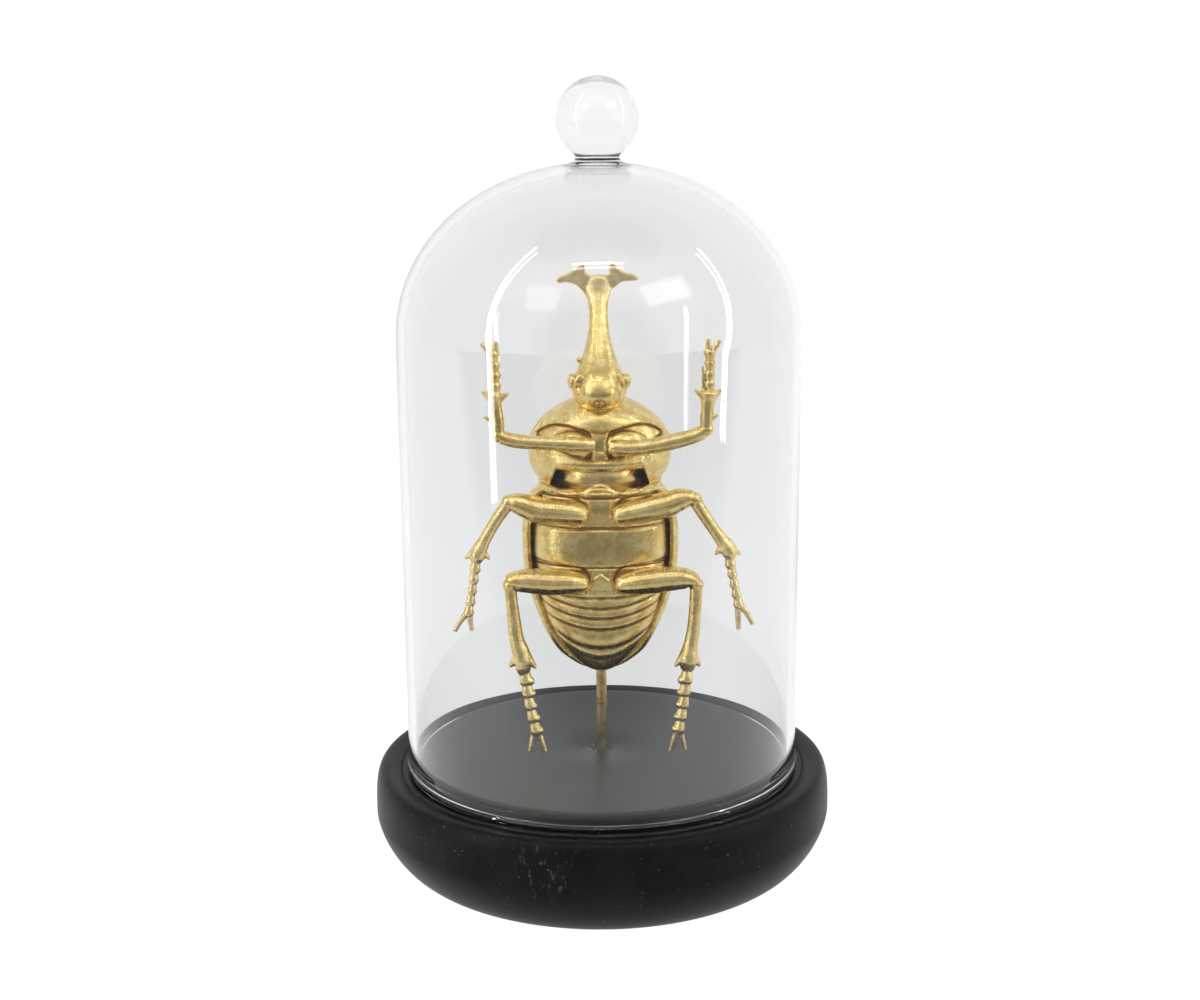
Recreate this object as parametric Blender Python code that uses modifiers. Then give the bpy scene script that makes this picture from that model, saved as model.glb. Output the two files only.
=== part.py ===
"""Gold beetle figure on a rod, on a turned base under a glass dome.

Metres, +Z up. The origin is the middle of the base's underside. The beetle stands head up with its belly
towards the front, which is -Y, so left and right are the viewer's left (-X) and right (+X).
"""

import math

import bmesh
import bpy
from mathutils import Matrix, Vector

MM = 0.001
GAP = 0.35 * MM  # between pieces that touch

# The turned base, from its underside up
BASE_RADIUS = 75 * MM
BASE_FOOT_RADIUS = 62.9 * MM
BASE_WIDEST_Z = 17.2 * MM
RIM_OUTER_RADIUS = 71 * MM
RIM_OUTER_Z = 31.8 * MM
RIM_INNER_RADIUS = 66.6 * MM
RIM_INNER_Z = 31.2 * MM
SIDE_POWER = 3.2  # of the superellipse above the widest line
FOOT_POWER = 1.52  # and below it
GROOVE_Z = 30.5 * MM
DISC_RADIUS = 60 * MM
DISC_Z = 34.7 * MM
DISC_ROUND = 0.9 * MM
COUNTERSINK_RADIUS = 4 * MM
COUNTERSINK_DEPTH = 1 * MM

# The rod, from its hole in the base into the abdomen
ROD_RADIUS = 1.7 * MM
ROD_BOTTOM_Z = 22.7 * MM
ROD_TOP_Z = 74 * MM

# The glass dome
GLASS_RADIUS = 64 * MM
GLASS_WALL = 2.6 * MM
GLASS_FOOT_Z = GROOVE_Z + 0.4 * MM
BEAD = 0.5 * MM  # how far the melted foot stands proud of the wall
SHOULDER_Z = 172 * MM
DOME_TOP_Z = 226.3 * MM
DOME_POWER = 2.05
NECK_RADIUS = 7 * MM
KNOB_RADIUS = 13 * MM
KNOB_Z = 239.2 * MM

# Lofted body sections in mm: height, half width, depth in front of the rod's axis, depth behind it
PROTHORAX = [
    (153.6, 0, 0, 0),
    (152.8, 6.0, 5.0, 6.0),
    (150.6, 11.2, 8.0, 9.5),
    (147.5, 16.4, 10.4, 12.2),
    (144.4, 19.8, 11.8, 13.6),
    (141.0, 22.2, 12.6, 14.4),
    (136.5, 23.0, 12.8, 14.6),
    (131.9, 22.9, 12.6, 14.0),
    (128.7, 21.8, 11.8, 13.0),
    (125.6, 19.6, 10.4, 11.6),
    (124.2, 17.0, 9.0, 10.0),
    (123.8, 0, 0, 0),
]
HIND_BODY = [
    (130.2, 0, 0, 0),
    (129.8, 12.5, 8.8, 7.5),
    (125.8, 13.4, 10.0, 8.0),
    (125.0, 17.5, 11.0, 8.6),
    (123.3, 20.4, 12.2, 9.2),
    (121.6, 20.6, 11.8, 9.4),
    (112.6, 22.2, 12.4, 9.8),
    (104.0, 22.7, 12.8, 10.0),
    (96.5, 22.3, 12.6, 9.9),
    (90.0, 21.2, 12.2, 9.5),
    (84.0, 19.6, 11.6, 8.9),
    (78.0, 17.2, 10.4, 7.9),
    (72.0, 13.6, 8.6, 6.6),
    (67.0, 9.0, 6.4, 5.2),
    (63.6, 4.6, 4.4, 4.2),
    (62.4, 0, 0, 0),
]
WING_CASES = [
    (125.2, 0, 0, 0),
    (124.8, 15.0, 8.0, 10.6),
    (123.2, 20.6, 9.0, 11.8),
    (119.5, 23.6, 9.6, 12.6),
    (113.0, 25.0, 10.0, 13.4),
    (105.5, 25.4, 10.0, 13.8),
    (97.5, 24.8, 10.0, 13.6),
    (90.0, 23.2, 9.6, 13.0),
    (82.0, 20.6, 9.0, 11.8),
    (75.0, 17.6, 8.0, 10.4),
    (69.6, 14.2, 6.8, 8.8),
    (66.0, 9.8, 5.6, 7.4),
    (64.4, 6.0, 5.0, 6.2),
    (63.8, 0, 0, 0),
]
HEAD = [
    (165.6, 0, 0, 0),
    (164.6, 4.4, 3.6, 3.6),
    (161.6, 7.0, 5.4, 5.4),
    (157.6, 8.8, 6.8, 6.4),
    (153.6, 8.0, 6.4, 6.0),
    (150.8, 5.2, 4.6, 4.4),
    (149.4, 0, 0, 0),
]
HEAD_Y = -5.5 * MM
WING_CASE_FRONT_Y = -4.5 * MM
WING_CASE_SPLIT_Z = 62.8 * MM  # the abdomen's tip stays below the wing cases

# The horn in mm: points along its stalk and its four tines, each with the radius there
HORN_STALK = [
    (0, -5.0, 160.0, 6.4),
    (0, -3.6, 165.5, 4.6),
    (0, -1.0, 171.0, 3.4),
    (0, 2.2, 177.5, 2.7),
    (0, 4.8, 184.0, 2.8),
    (0, 5.8, 188.6, 2.6),
]
HORN_TINES = [
    [(-1.2, 5.7, 187.1, 2.4), (5.0, 6.2, 190.2, 2.0), (8.6, 6.4, 192.2, 1.5), (12.2, 6.4, 191.2, 0.7)],
    [(1.1, 5.9, 187.3, 2.3), (-5.0, 6.3, 190.1, 2.1), (-8.6, 6.4, 191.8, 1.5), (-12.4, 6.4, 190.4, 0.7)],
    [(4.3, 6.0, 189.2, 1.7), (6.8, 6.4, 194.0, 0.8)],
    [(-3.4, 6.2, 189.0, 1.6), (-5.0, 6.5, 193.8, 0.8)],
]
THORN = [(0, 10.5, 140.0, 4.4), (0, 14.5, 146.0, 2.6), (0, 17.0, 152.0, 1.6)]
THORN_TINES = [
    [(0, 16.6, 151.2, 1.5), (3.2, 18.0, 155.0, 0.7)],
    [(0, 16.6, 151.2, 1.5), (-3.2, 18.0, 155.0, 0.7)],
]
EYE = (8.0, -6.2, 158.6)
EYE_RADIUS = 2.4

# Each leg in mm: points from the hip to the end of the foot with the radius there, then the claws' tips
# and the spurs, each as a root and a tip
LEGS = {
    "foreleg_left": {
        "path": [(-4.0, -16.8, 138.6, 2.9), (-7.0, -16.9, 138.6, 3.7), (-14.0, -16.9, 138.9, 3.6),
                 (-21.0, -17.0, 140.0, 2.9), (-28.0, -17.2, 141.2, 2.1), (-31.6, -17.4, 142.4, 2.1),
                 (-32.8, -17.6, 145.2, 1.8), (-32.8, -18.0, 150.4, 2.1), (-32.4, -18.4, 156.0, 2.3),
                 (-32.4, -18.6, 158.6, 1.2), (-32.0, -18.8, 161.4, 1.7), (-32.4, -19.0, 164.0, 1.2),
                 (-32.6, -19.4, 167.0, 1.5), (-33.0, -19.8, 169.8, 1.2)],
        "claws": [(-35.4, -20.4, 173.2), (-30.8, -20.4, 173.4)],
        "spurs": [((-33.0, -18.4, 155.6), (-36.4, -18.6, 157.4)), ((-32.2, -18.4, 155.6), (-28.2, -18.6, 157.2)),
                  ((-33.4, -18.0, 149.0), (-36.8, -18.2, 150.4))],
    },
    "foreleg_right": {
        "path": [(4.4, -16.8, 138.6, 2.9), (7.4, -16.9, 138.6, 3.7), (14.4, -16.9, 138.9, 3.6),
                 (21.4, -17.0, 140.2, 2.9), (28.4, -17.2, 141.8, 2.1), (32.4, -17.4, 143.0, 2.1),
                 (33.6, -17.6, 146.0, 1.8), (34.0, -18.0, 151.0, 2.1), (34.6, -18.4, 156.0, 2.3),
                 (34.0, -18.6, 158.6, 1.2), (33.8, -18.8, 161.4, 1.7), (33.6, -19.0, 164.0, 1.2),
                 (34.0, -19.4, 167.0, 1.5), (34.0, -19.8, 169.8, 1.2)],
        "claws": [(32.2, -20.4, 173.6), (36.4, -20.4, 173.8)],
        "spurs": [((34.4, -18.4, 155.6), (38.4, -18.6, 157.4)), ((34.2, -18.4, 155.6), (30.2, -18.6, 157.0)),
                  ((34.4, -18.0, 149.4), (37.4, -18.2, 151.0))],
    },
    "midleg_left": {
        "path": [(-5.4, -16.6, 117.2, 2.6), (-8.4, -16.7, 117.8, 3.3), (-15.0, -16.8, 119.2, 3.5),
                 (-22.0, -17.0, 121.6, 3.2), (-26.6, -17.2, 122.6, 2.8), (-29.6, -17.4, 120.4, 2.0),
                 (-32.0, -17.8, 116.0, 1.5), (-35.0, -18.2, 110.6, 1.8), (-38.2, -18.6, 106.2, 2.4),
                 (-38.8, -18.8, 103.4, 1.2), (-39.4, -19.0, 100.2, 1.6), (-40.0, -19.4, 97.4, 1.1),
                 (-40.4, -19.6, 94.0, 1.4), (-41.2, -19.8, 90.0, 1.1), (-42.0, -20.0, 87.0, 1.2)],
        "claws": [(-46.0, -20.6, 81.6), (-41.0, -20.6, 81.6)],
        "spurs": [((-38.4, -18.6, 106.6), (-42.6, -18.8, 105.2)), ((-37.8, -18.6, 106.0), (-34.4, -18.8, 105.4))],
    },
    "midleg_right": {
        "path": [(5.8, -16.6, 117.2, 2.6), (8.8, -16.7, 117.8, 3.3), (15.4, -16.8, 119.8, 3.5),
                 (21.8, -17.0, 122.8, 3.2), (26.6, -17.2, 124.0, 2.8), (29.8, -17.4, 121.8, 2.0),
                 (32.6, -17.8, 117.0, 1.5), (35.8, -18.2, 111.6, 1.8), (39.2, -18.6, 107.4, 2.4),
                 (40.0, -18.8, 104.4, 1.2), (40.6, -19.0, 101.2, 1.6), (41.2, -19.4, 98.4, 1.1),
                 (41.8, -19.6, 95.0, 1.4), (42.6, -19.8, 91.0, 1.1), (43.2, -20.0, 88.0, 1.2)],
        "claws": [(47.4, -20.6, 82.6), (43.0, -20.6, 81.4)],
        "spurs": [((39.4, -18.6, 107.8), (43.8, -18.8, 106.4)), ((38.8, -18.6, 107.0), (35.4, -18.8, 105.6))],
    },
    "hindleg_left": {
        "path": [(-4.6, -16.6, 95.0, 2.7), (-7.8, -16.8, 95.4, 3.5), (-14.6, -16.9, 96.4, 3.7),
                 (-21.6, -17.0, 97.0, 3.4), (-26.8, -17.2, 96.0, 3.0), (-29.2, -17.4, 92.6, 2.2),
                 (-28.6, -17.8, 87.0, 1.9), (-27.0, -18.0, 79.0, 2.2), (-25.0, -18.0, 72.0, 2.9),
                 (-24.0, -18.0, 68.2, 1.6), (-23.6, -18.2, 65.0, 2.2), (-23.0, -18.4, 61.4, 1.7),
                 (-22.6, -18.6, 57.6, 2.1), (-22.4, -18.8, 54.0, 1.3), (-21.8, -19.0, 51.0, 1.7),
                 (-21.2, -19.2, 47.6, 1.2)],
        "claws": [(-23.2, -20.0, 40.2), (-18.6, -20.0, 39.6)],
        "spurs": [((-25.2, -18.0, 71.6), (-29.0, -18.2, 69.8)), ((-24.8, -18.0, 71.6), (-20.6, -18.2, 69.8))],
    },
    "hindleg_right": {
        "path": [(5.4, -16.6, 95.0, 2.7), (8.6, -16.8, 95.4, 3.5), (15.4, -16.9, 96.4, 3.7),
                 (22.4, -17.0, 97.0, 3.4), (27.8, -17.2, 96.0, 3.0), (30.6, -17.4, 92.4, 2.2),
                 (30.4, -17.8, 87.0, 1.9), (29.2, -18.0, 79.0, 2.2), (27.8, -18.0, 72.4, 2.9),
                 (27.2, -18.0, 68.4, 1.6), (27.2, -18.2, 65.2, 2.2), (26.8, -18.4, 61.6, 1.7),
                 (26.6, -18.6, 57.8, 2.1), (26.4, -18.8, 54.2, 1.3), (26.0, -19.0, 51.2, 1.7),
                 (25.4, -19.2, 47.8, 1.2)],
        "claws": [(22.4, -20.0, 40.2), (27.0, -20.0, 40.6)],
        "spurs": [((27.6, -18.0, 71.8), (23.6, -18.2, 69.8)), ((28.0, -18.0, 71.8), (31.0, -18.2, 70.4))],
    },
}
SPUR_ROOT_RADIUS = 1.1
SPUR_TIP_RADIUS = 0.35
CLAW_ROOT_RADIUS = 1.1
CLAW_TIP_RADIUS = 0.5

TURNED_STEPS = 36
BODY_SIDES = 24
KNOB_STEPS = 7
LIMB_RESOLUTION = 2

# name: colour, roughness, metallic
FINISHES = {
    "black_lacquer": ((0.024, 0.024, 0.026), 0.42, 0.0),
    "clear_glass": ((0.94, 0.97, 0.96), 0.03, 0.0),
    "gold_paint": ((0.60, 0.43, 0.16), 0.36, 0.9),
    "gilt_brass": ((0.56, 0.42, 0.17), 0.34, 1.0),
}


def clear_scene():
    """Removes whatever the scene holds."""
    for obj in list(bpy.data.objects):
        bpy.data.objects.remove(obj, do_unlink=True)


def new_collection(name):
    """A collection of this name under the scene's own."""
    collection = bpy.data.collections.new(name)
    bpy.context.scene.collection.children.link(collection)
    return collection


def finish(node, name):
    """A new Principled material for one node."""
    colour, roughness, metallic = FINISHES[name]
    material = bpy.data.materials.new(f"{node}_{name}")
    material.use_nodes = True
    shader = material.node_tree.nodes["Principled BSDF"]
    shader.inputs["Base Color"].default_value = (*colour, 1.0)
    shader.inputs["Roughness"].default_value = roughness
    shader.inputs["Metallic"].default_value = metallic
    if name == "clear_glass":
        shader.inputs["Transmission Weight"].default_value = 1.0
        shader.inputs["IOR"].default_value = 1.5
    return material


def smooth(mesh, angle=40):
    """Shades a mesh smooth but keeps its sharp edges."""
    mesh.shade_smooth()
    mesh.set_sharp_from_angle(angle=math.radians(angle))


def add_part(name, mesh, material_name):
    """A finished part in the object's collection."""
    obj = bpy.data.objects.new(name, mesh)
    parts.objects.link(obj)
    mesh.materials.append(finish(name, material_name))
    return obj


def add_cutter(name, mesh):
    """A shape that only cuts or joins others."""
    obj = bpy.data.objects.new(name, mesh)
    cutters.objects.link(obj)
    obj.hide_render = True
    obj.display_type = "WIRE"
    return obj


def boolean(obj, other, operation):
    """Cuts, joins or crosses a part with another shape."""
    modifier = obj.modifiers.new(f"{operation} {other.name}", "BOOLEAN")
    modifier.operation = operation
    modifier.solver = "EXACT"
    modifier.object = other


def quarter(centre_r, centre_z, width, height, power, steps):
    """Points of a quarter of a superellipse, from its top or foot round to its side."""
    points = []
    for step in range(steps + 1):
        angle = math.pi / 2 * (1 - step / steps)
        across = max(math.cos(angle), 0.0) ** (2 / power)
        along = math.sin(angle) ** (2 / power)
        points.append((centre_r + width * across, centre_z + height * along))
    return points


def turned(name, profile, material_name):
    """A part turned round Z from an outline of radius and height."""
    bm = bmesh.new()
    vertices = [bm.verts.new((radius, 0, z)) for radius, z in profile]
    for first, second in zip(vertices, vertices[1:]):
        bm.edges.new((first, second))
    mesh = bpy.data.meshes.new(name)
    bm.to_mesh(mesh)
    bm.free()
    obj = add_part(name, mesh, material_name)
    screw = obj.modifiers.new("Turn", "SCREW")
    screw.steps = TURNED_STEPS
    screw.render_steps = TURNED_STEPS
    screw.use_merge_vertices = True
    screw.merge_threshold = 0.00001
    screw.use_smooth_shade = True
    return obj


def lofted(name, stations, y=0.0, grow=0.0):
    """A rounded body through stations of height, half width, front depth and back depth in mm."""
    bm = bmesh.new()
    rings = len(stations) - 1
    bmesh.ops.create_uvsphere(bm, u_segments=BODY_SIDES, v_segments=rings, radius=1)
    top, bottom = stations[0][0], stations[-1][0]
    for vertex in bm.verts:
        polar = math.acos(max(-1.0, min(1.0, vertex.co.z)))
        height, half_width, front, back = stations[round(polar / math.pi * rings)]
        around = math.atan2(vertex.co.y, vertex.co.x)
        pole = half_width == 0
        depth = back if math.sin(around) > 0 else front
        extra = 0 if pole else grow
        reach = grow if height == top else -grow if height == bottom else 0
        vertex.co = Vector((
            (half_width * MM + extra) * (0 if pole else math.cos(around)),
            (depth * MM + extra) * (0 if pole else math.sin(around)) + y,
            height * MM + reach,
        ))
    mesh = bpy.data.meshes.new(name)
    bm.to_mesh(mesh)
    bm.free()
    smooth(mesh)
    return mesh


def limb(name, points, resolution=LIMB_RESOLUTION):
    """A closed tube mesh along points of x, y, z and radius in mm."""
    curve = bpy.data.curves.new(name, "CURVE")
    curve.dimensions = "3D"
    curve.bevel_depth = MM
    curve.bevel_resolution = resolution
    curve.use_fill_caps = True
    spline = curve.splines.new("POLY")
    spline.points.add(len(points) - 1)
    for point, (x, y, z, radius) in zip(spline.points, points):
        point.co = (x * MM, y * MM, z * MM, 1)
        point.radius = radius
    guide = bpy.data.objects.new(name, curve)
    cutters.objects.link(guide)
    bpy.context.view_layer.update()
    mesh = bpy.data.meshes.new_from_object(guide.evaluated_get(bpy.context.evaluated_depsgraph_get()))
    bpy.data.objects.remove(guide, do_unlink=True)
    bm = bmesh.new()
    bm.from_mesh(mesh)
    bmesh.ops.remove_doubles(bm, verts=bm.verts, dist=0.00001)
    bmesh.ops.recalc_face_normals(bm, faces=bm.faces)
    bm.to_mesh(mesh)
    bm.free()
    mesh.name = name
    smooth(mesh, 60)
    return mesh


def ball(name, centre, radius):
    """A small sphere mesh at a place in mm."""
    bm = bmesh.new()
    place = Matrix.Translation(Vector(centre) * MM)
    bmesh.ops.create_uvsphere(bm, u_segments=10, v_segments=7, radius=radius * MM, matrix=place)
    mesh = bpy.data.meshes.new(name)
    bm.to_mesh(mesh)
    bm.free()
    smooth(mesh)
    return mesh


def block(name, low, high):
    """A box mesh between two corners in metres."""
    bm = bmesh.new()
    bmesh.ops.create_cube(bm, size=1)
    low, high = Vector(low), Vector(high)
    bmesh.ops.scale(bm, vec=high - low, verts=bm.verts)
    bmesh.ops.translate(bm, vec=(low + high) / 2, verts=bm.verts)
    mesh = bpy.data.meshes.new(name)
    bm.to_mesh(mesh)
    bm.free()
    return mesh


def build_base():
    """The turned base: bullnose side, rim, dome groove, raised disc, countersink and rod hole."""
    hole = ROD_RADIUS + GAP
    sink_z = DISC_Z - COUNTERSINK_DEPTH
    profile = [(0, ROD_BOTTOM_Z - GAP), (hole, ROD_BOTTOM_Z - GAP), (hole, sink_z)]
    profile += [(COUNTERSINK_RADIUS - 0.4 * MM, sink_z), (COUNTERSINK_RADIUS, DISC_Z)]
    profile += quarter(DISC_RADIUS - DISC_ROUND, DISC_Z - DISC_ROUND, DISC_ROUND, DISC_ROUND, 2, 2)
    profile += [(DISC_RADIUS, GROOVE_Z), (RIM_INNER_RADIUS, GROOVE_Z), (RIM_INNER_RADIUS, RIM_INNER_Z)]
    rim_width = BASE_RADIUS - RIM_OUTER_RADIUS
    profile += quarter(RIM_OUTER_RADIUS, BASE_WIDEST_Z, rim_width, RIM_OUTER_Z - BASE_WIDEST_Z, SIDE_POWER, 4)
    foot_width = BASE_RADIUS - BASE_FOOT_RADIUS
    side = quarter(BASE_FOOT_RADIUS, BASE_WIDEST_Z, foot_width, -BASE_WIDEST_Z, FOOT_POWER, 5)
    profile += side[-2::-1]
    profile.append((0, 0))
    turned("base", profile, "black_lacquer")


def build_dome():
    """The dome with its neck and knob as one piece of glass, open at the foot."""
    inner_radius = GLASS_RADIUS - GLASS_WALL
    inner_top = DOME_TOP_Z - GLASS_WALL - 0.4 * MM
    profile = []
    neck_angle = math.acos(NECK_RADIUS / KNOB_RADIUS)
    for step in range(KNOB_STEPS + 1):
        angle = math.pi / 2 - (math.pi / 2 + neck_angle) * step / KNOB_STEPS
        profile.append((KNOB_RADIUS * math.cos(angle), KNOB_Z + KNOB_RADIUS * math.sin(angle)))
    profile[0] = (0, KNOB_Z + KNOB_RADIUS)
    profile.append((NECK_RADIUS, DOME_TOP_Z + 0.5 * MM))
    outer = quarter(0, SHOULDER_Z, GLASS_RADIUS, DOME_TOP_Z - SHOULDER_Z, DOME_POWER, 8)
    profile += [point for point in outer if point[0] > NECK_RADIUS + MM]
    foot = GLASS_FOOT_Z
    profile += [
        (GLASS_RADIUS, foot + 6 * MM),
        (GLASS_RADIUS + BEAD, foot + 2.8 * MM),
        (GLASS_RADIUS + BEAD, foot + 1.1 * MM),
        (GLASS_RADIUS - 0.6 * MM, foot),
        (inner_radius + 0.6 * MM, foot),
        (inner_radius - BEAD, foot + 1.1 * MM),
        (inner_radius - BEAD, foot + 2.8 * MM),
        (inner_radius, foot + 6 * MM),
    ]
    inner = quarter(0, SHOULDER_Z, inner_radius, inner_top - SHOULDER_Z, DOME_POWER, 6)
    profile += inner[::-1]
    turned("glass_dome", profile, "clear_glass")


def build_rod():
    """The rod from the base's hole into the abdomen."""
    profile = [(0, ROD_TOP_Z), (ROD_RADIUS, ROD_TOP_Z), (ROD_RADIUS, ROD_BOTTOM_Z), (0, ROD_BOTTOM_Z)]
    rod = turned("rod", profile, "gilt_brass")
    rod.modifiers["Turn"].steps = 16
    rod.modifiers["Turn"].render_steps = 16


def build_head():
    """The head with its eyes and the forked horn, in one piece."""
    head = add_part("head_horn", lofted("head_horn", HEAD, HEAD_Y), "gold_paint")
    boolean(head, add_cutter("horn_stalk", limb("horn_stalk", HORN_STALK, 3)), "UNION")
    for number, points in enumerate(HORN_TINES):
        name = f"horn_tine_{number}"
        boolean(head, add_cutter(name, limb(name, points)), "UNION")
    for side in (-1, 1):
        name = f"eye_{side}"
        centre = (side * EYE[0], EYE[1], EYE[2])
        boolean(head, add_cutter(name, ball(name, centre, EYE_RADIUS)), "UNION")


def build_prothorax(rooms):
    """The front body section with its short forked thorn behind, hollowed for its neighbours."""
    thorax = add_part("prothorax", lofted("prothorax", PROTHORAX), "gold_paint")
    for number, points in enumerate([THORN, *THORN_TINES]):
        name = f"thorn_{number}"
        boolean(thorax, add_cutter(name, limb(name, points)), "UNION")
    for room in rooms:
        boolean(thorax, room, "DIFFERENCE")


def build_hind_body():
    """The middle and hind thorax with the abdomen, drilled for the rod."""
    body = add_part("hind_body", lofted("hind_body", HIND_BODY), "gold_paint")
    radius = (ROD_RADIUS + GAP) / MM
    hole = limb("rod_hole", [(0, 0, 40, radius), (0, 0, ROD_TOP_Z / MM + 0.35, radius)], 4)
    boolean(body, add_cutter("rod_hole", hole), "DIFFERENCE")


def build_wing_cases(room):
    """The two wing cases, shells behind and beside the body that meet along the back."""
    for side, name in ((-1, "elytron_left"), (1, "elytron_right")):
        case = add_part(name, lofted(name, WING_CASES), "gold_paint")
        near, far = side * GAP / 2, side * 40 * MM
        low = (min(near, far), WING_CASE_FRONT_Y, WING_CASE_SPLIT_Z)
        high = (max(near, far), 40 * MM, 140 * MM)
        boolean(case, add_cutter(f"{name}_side", block(f"{name}_side", low, high)), "INTERSECT")
        boolean(case, room, "DIFFERENCE")


def build_leg(name, leg):
    """One leg with its claws and spurs in one piece."""
    obj = add_part(name, limb(name, leg["path"]), "gold_paint")
    x, y, z, _radius = leg["path"][-1]
    spikes = [((x, y, z, CLAW_ROOT_RADIUS), (*tip, CLAW_TIP_RADIUS)) for tip in leg["claws"]]
    spikes += [((*root, SPUR_ROOT_RADIUS), (*tip, SPUR_TIP_RADIUS)) for root, tip in leg["spurs"]]
    for number, points in enumerate(spikes):
        spike = f"{name}_spike_{number}"
        boolean(obj, add_cutter(spike, limb(spike, points, 1)), "UNION")


def build():
    """The whole object, from the base up."""
    build_base()
    build_dome()
    build_rod()
    build_hind_body()
    body_room = add_cutter("body_room", lofted("body_room", HIND_BODY, grow=GAP))
    head_room = add_cutter("head_room", lofted("head_room", HEAD, HEAD_Y, grow=GAP))
    wing_room = add_cutter("wing_room", lofted("wing_room", WING_CASES, grow=GAP))
    build_wing_cases(body_room)
    build_prothorax([body_room, head_room, wing_room])
    build_head()
    for name, leg in LEGS.items():
        build_leg(name, leg)


clear_scene()
parts = new_collection("beetle_under_dome")
cutters = new_collection("cutters")
build()
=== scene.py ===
"""Gold beetle figure under a blown glass dome, on a turned black base.

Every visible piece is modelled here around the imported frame, one piece for each of its nodes, and dressed
with a procedural finish. Sizes inside the classes are in millimetres in the frame's own axes: X to the
viewer's right, Y away from the front, Z up from the base's underside.
"""

from __future__ import annotations

import logging
import math
from dataclasses import dataclass
from enum import Enum
from typing import Any, Callable, Sequence

import bpy
import numpy as np
from mathutils import Matrix, Vector


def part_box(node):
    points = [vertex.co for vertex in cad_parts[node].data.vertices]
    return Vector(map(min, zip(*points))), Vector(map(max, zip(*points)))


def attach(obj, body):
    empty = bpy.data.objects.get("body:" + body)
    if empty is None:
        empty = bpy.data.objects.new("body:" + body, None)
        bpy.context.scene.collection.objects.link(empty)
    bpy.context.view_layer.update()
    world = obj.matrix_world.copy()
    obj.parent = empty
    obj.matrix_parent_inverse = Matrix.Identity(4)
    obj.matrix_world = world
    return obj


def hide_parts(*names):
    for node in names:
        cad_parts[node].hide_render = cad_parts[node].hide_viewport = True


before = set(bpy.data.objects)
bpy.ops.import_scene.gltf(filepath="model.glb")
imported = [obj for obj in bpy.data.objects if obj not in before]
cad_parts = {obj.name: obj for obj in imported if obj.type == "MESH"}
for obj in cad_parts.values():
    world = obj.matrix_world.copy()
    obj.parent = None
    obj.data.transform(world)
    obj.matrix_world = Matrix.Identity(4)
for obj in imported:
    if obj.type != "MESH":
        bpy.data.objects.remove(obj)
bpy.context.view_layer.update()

MM = 0.001
BODY = "root"
CREASE = "crease"
log = logging.getLogger("beetle_dome")
Relief = Callable[[np.ndarray, np.ndarray], np.ndarray]
Place = tuple[float, float, float]


# ---------------------------------------------------------------- shader arithmetic


class Value:
    """A number that changes over a surface, written as ordinary arithmetic."""

    def __init__(self, graph: "Graph", socket: bpy.types.NodeSocket) -> None:
        """Wraps one output socket.

        Args:
            graph: The node graph that the socket belongs to.
            socket: The output that carries the number.
        """
        self.graph = graph
        self.socket = socket

    def _math(self, operation: str, other: "Value | float", flipped: bool = False) -> "Value":
        """Adds one Math node.

        Args:
            operation: The Math node's operation.
            other: The second operand.
            flipped: Whether the second operand comes first.

        Returns:
            The node's result.
        """
        first, second = (other, self) if flipped else (self, other)
        node = self.graph.node("ShaderNodeMath", {"operation": operation}, {0: first, 1: second})
        return Value(self.graph, node.outputs[0])

    def __add__(self, other: "Value | float") -> "Value":
        """self + other."""
        return self._math("ADD", other)

    __radd__ = __add__

    def __sub__(self, other: "Value | float") -> "Value":
        """self - other."""
        return self._math("SUBTRACT", other)

    def __rsub__(self, other: "Value | float") -> "Value":
        """other - self."""
        return self._math("SUBTRACT", other, flipped=True)

    def __mul__(self, other: "Value | float") -> "Value":
        """self * other."""
        return self._math("MULTIPLY", other)

    __rmul__ = __mul__

    def __truediv__(self, other: "Value | float") -> "Value":
        """self / other."""
        return self._math("DIVIDE", other)

    def __pow__(self, other: float) -> "Value":
        """self ** other."""
        return self._math("POWER", other)

    def between(self, low: float, high: float) -> "Value":
        """A soft step.

        Args:
            low: Where the step starts; it may be above high, for a falling step.
            high: Where it ends.

        Returns:
            0 on the low side, 1 on the high side, smooth in between.
        """
        rising = low < high
        node = self.graph.node(
            "ShaderNodeMapRange",
            {"interpolation_type": "SMOOTHSTEP"},
            {"Value": self, "From Min": min(low, high), "From Max": max(low, high)},
        )
        soft = Value(self.graph, node.outputs["Result"])
        return soft if rising else 1 - soft


def add_node(
    tree: bpy.types.NodeTree,
    kind: str,
    settings: dict[str, Any] | None = None,
    inputs: dict[Any, Any] | None = None,
) -> bpy.types.Node:
    """Adds any node.

    Args:
        tree: The node tree to add it to.
        kind: The node's type.
        settings: Its own properties, set first; "stops" fills a colour ramp.
        inputs: Values or links of its sockets, by name or number.

    Returns:
        The node.
    """
    made = tree.nodes.new(kind)
    for name, value in (settings or {}).items():
        if name == "stops":
            stops = made.color_ramp.elements
            for number, (position, colour) in enumerate(value):
                stop = stops[number] if number < 2 else stops.new(position)
                stop.position = position
                stop.color = (*colour, 1.0)
        else:
            setattr(made, name, value)
    for key, value in (inputs or {}).items():
        if isinstance(value, Value):
            tree.links.new(value.socket, made.inputs[key])
        elif isinstance(value, bpy.types.NodeSocket):
            tree.links.new(value, made.inputs[key])
        else:
            made.inputs[key].default_value = value
    return made


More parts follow.
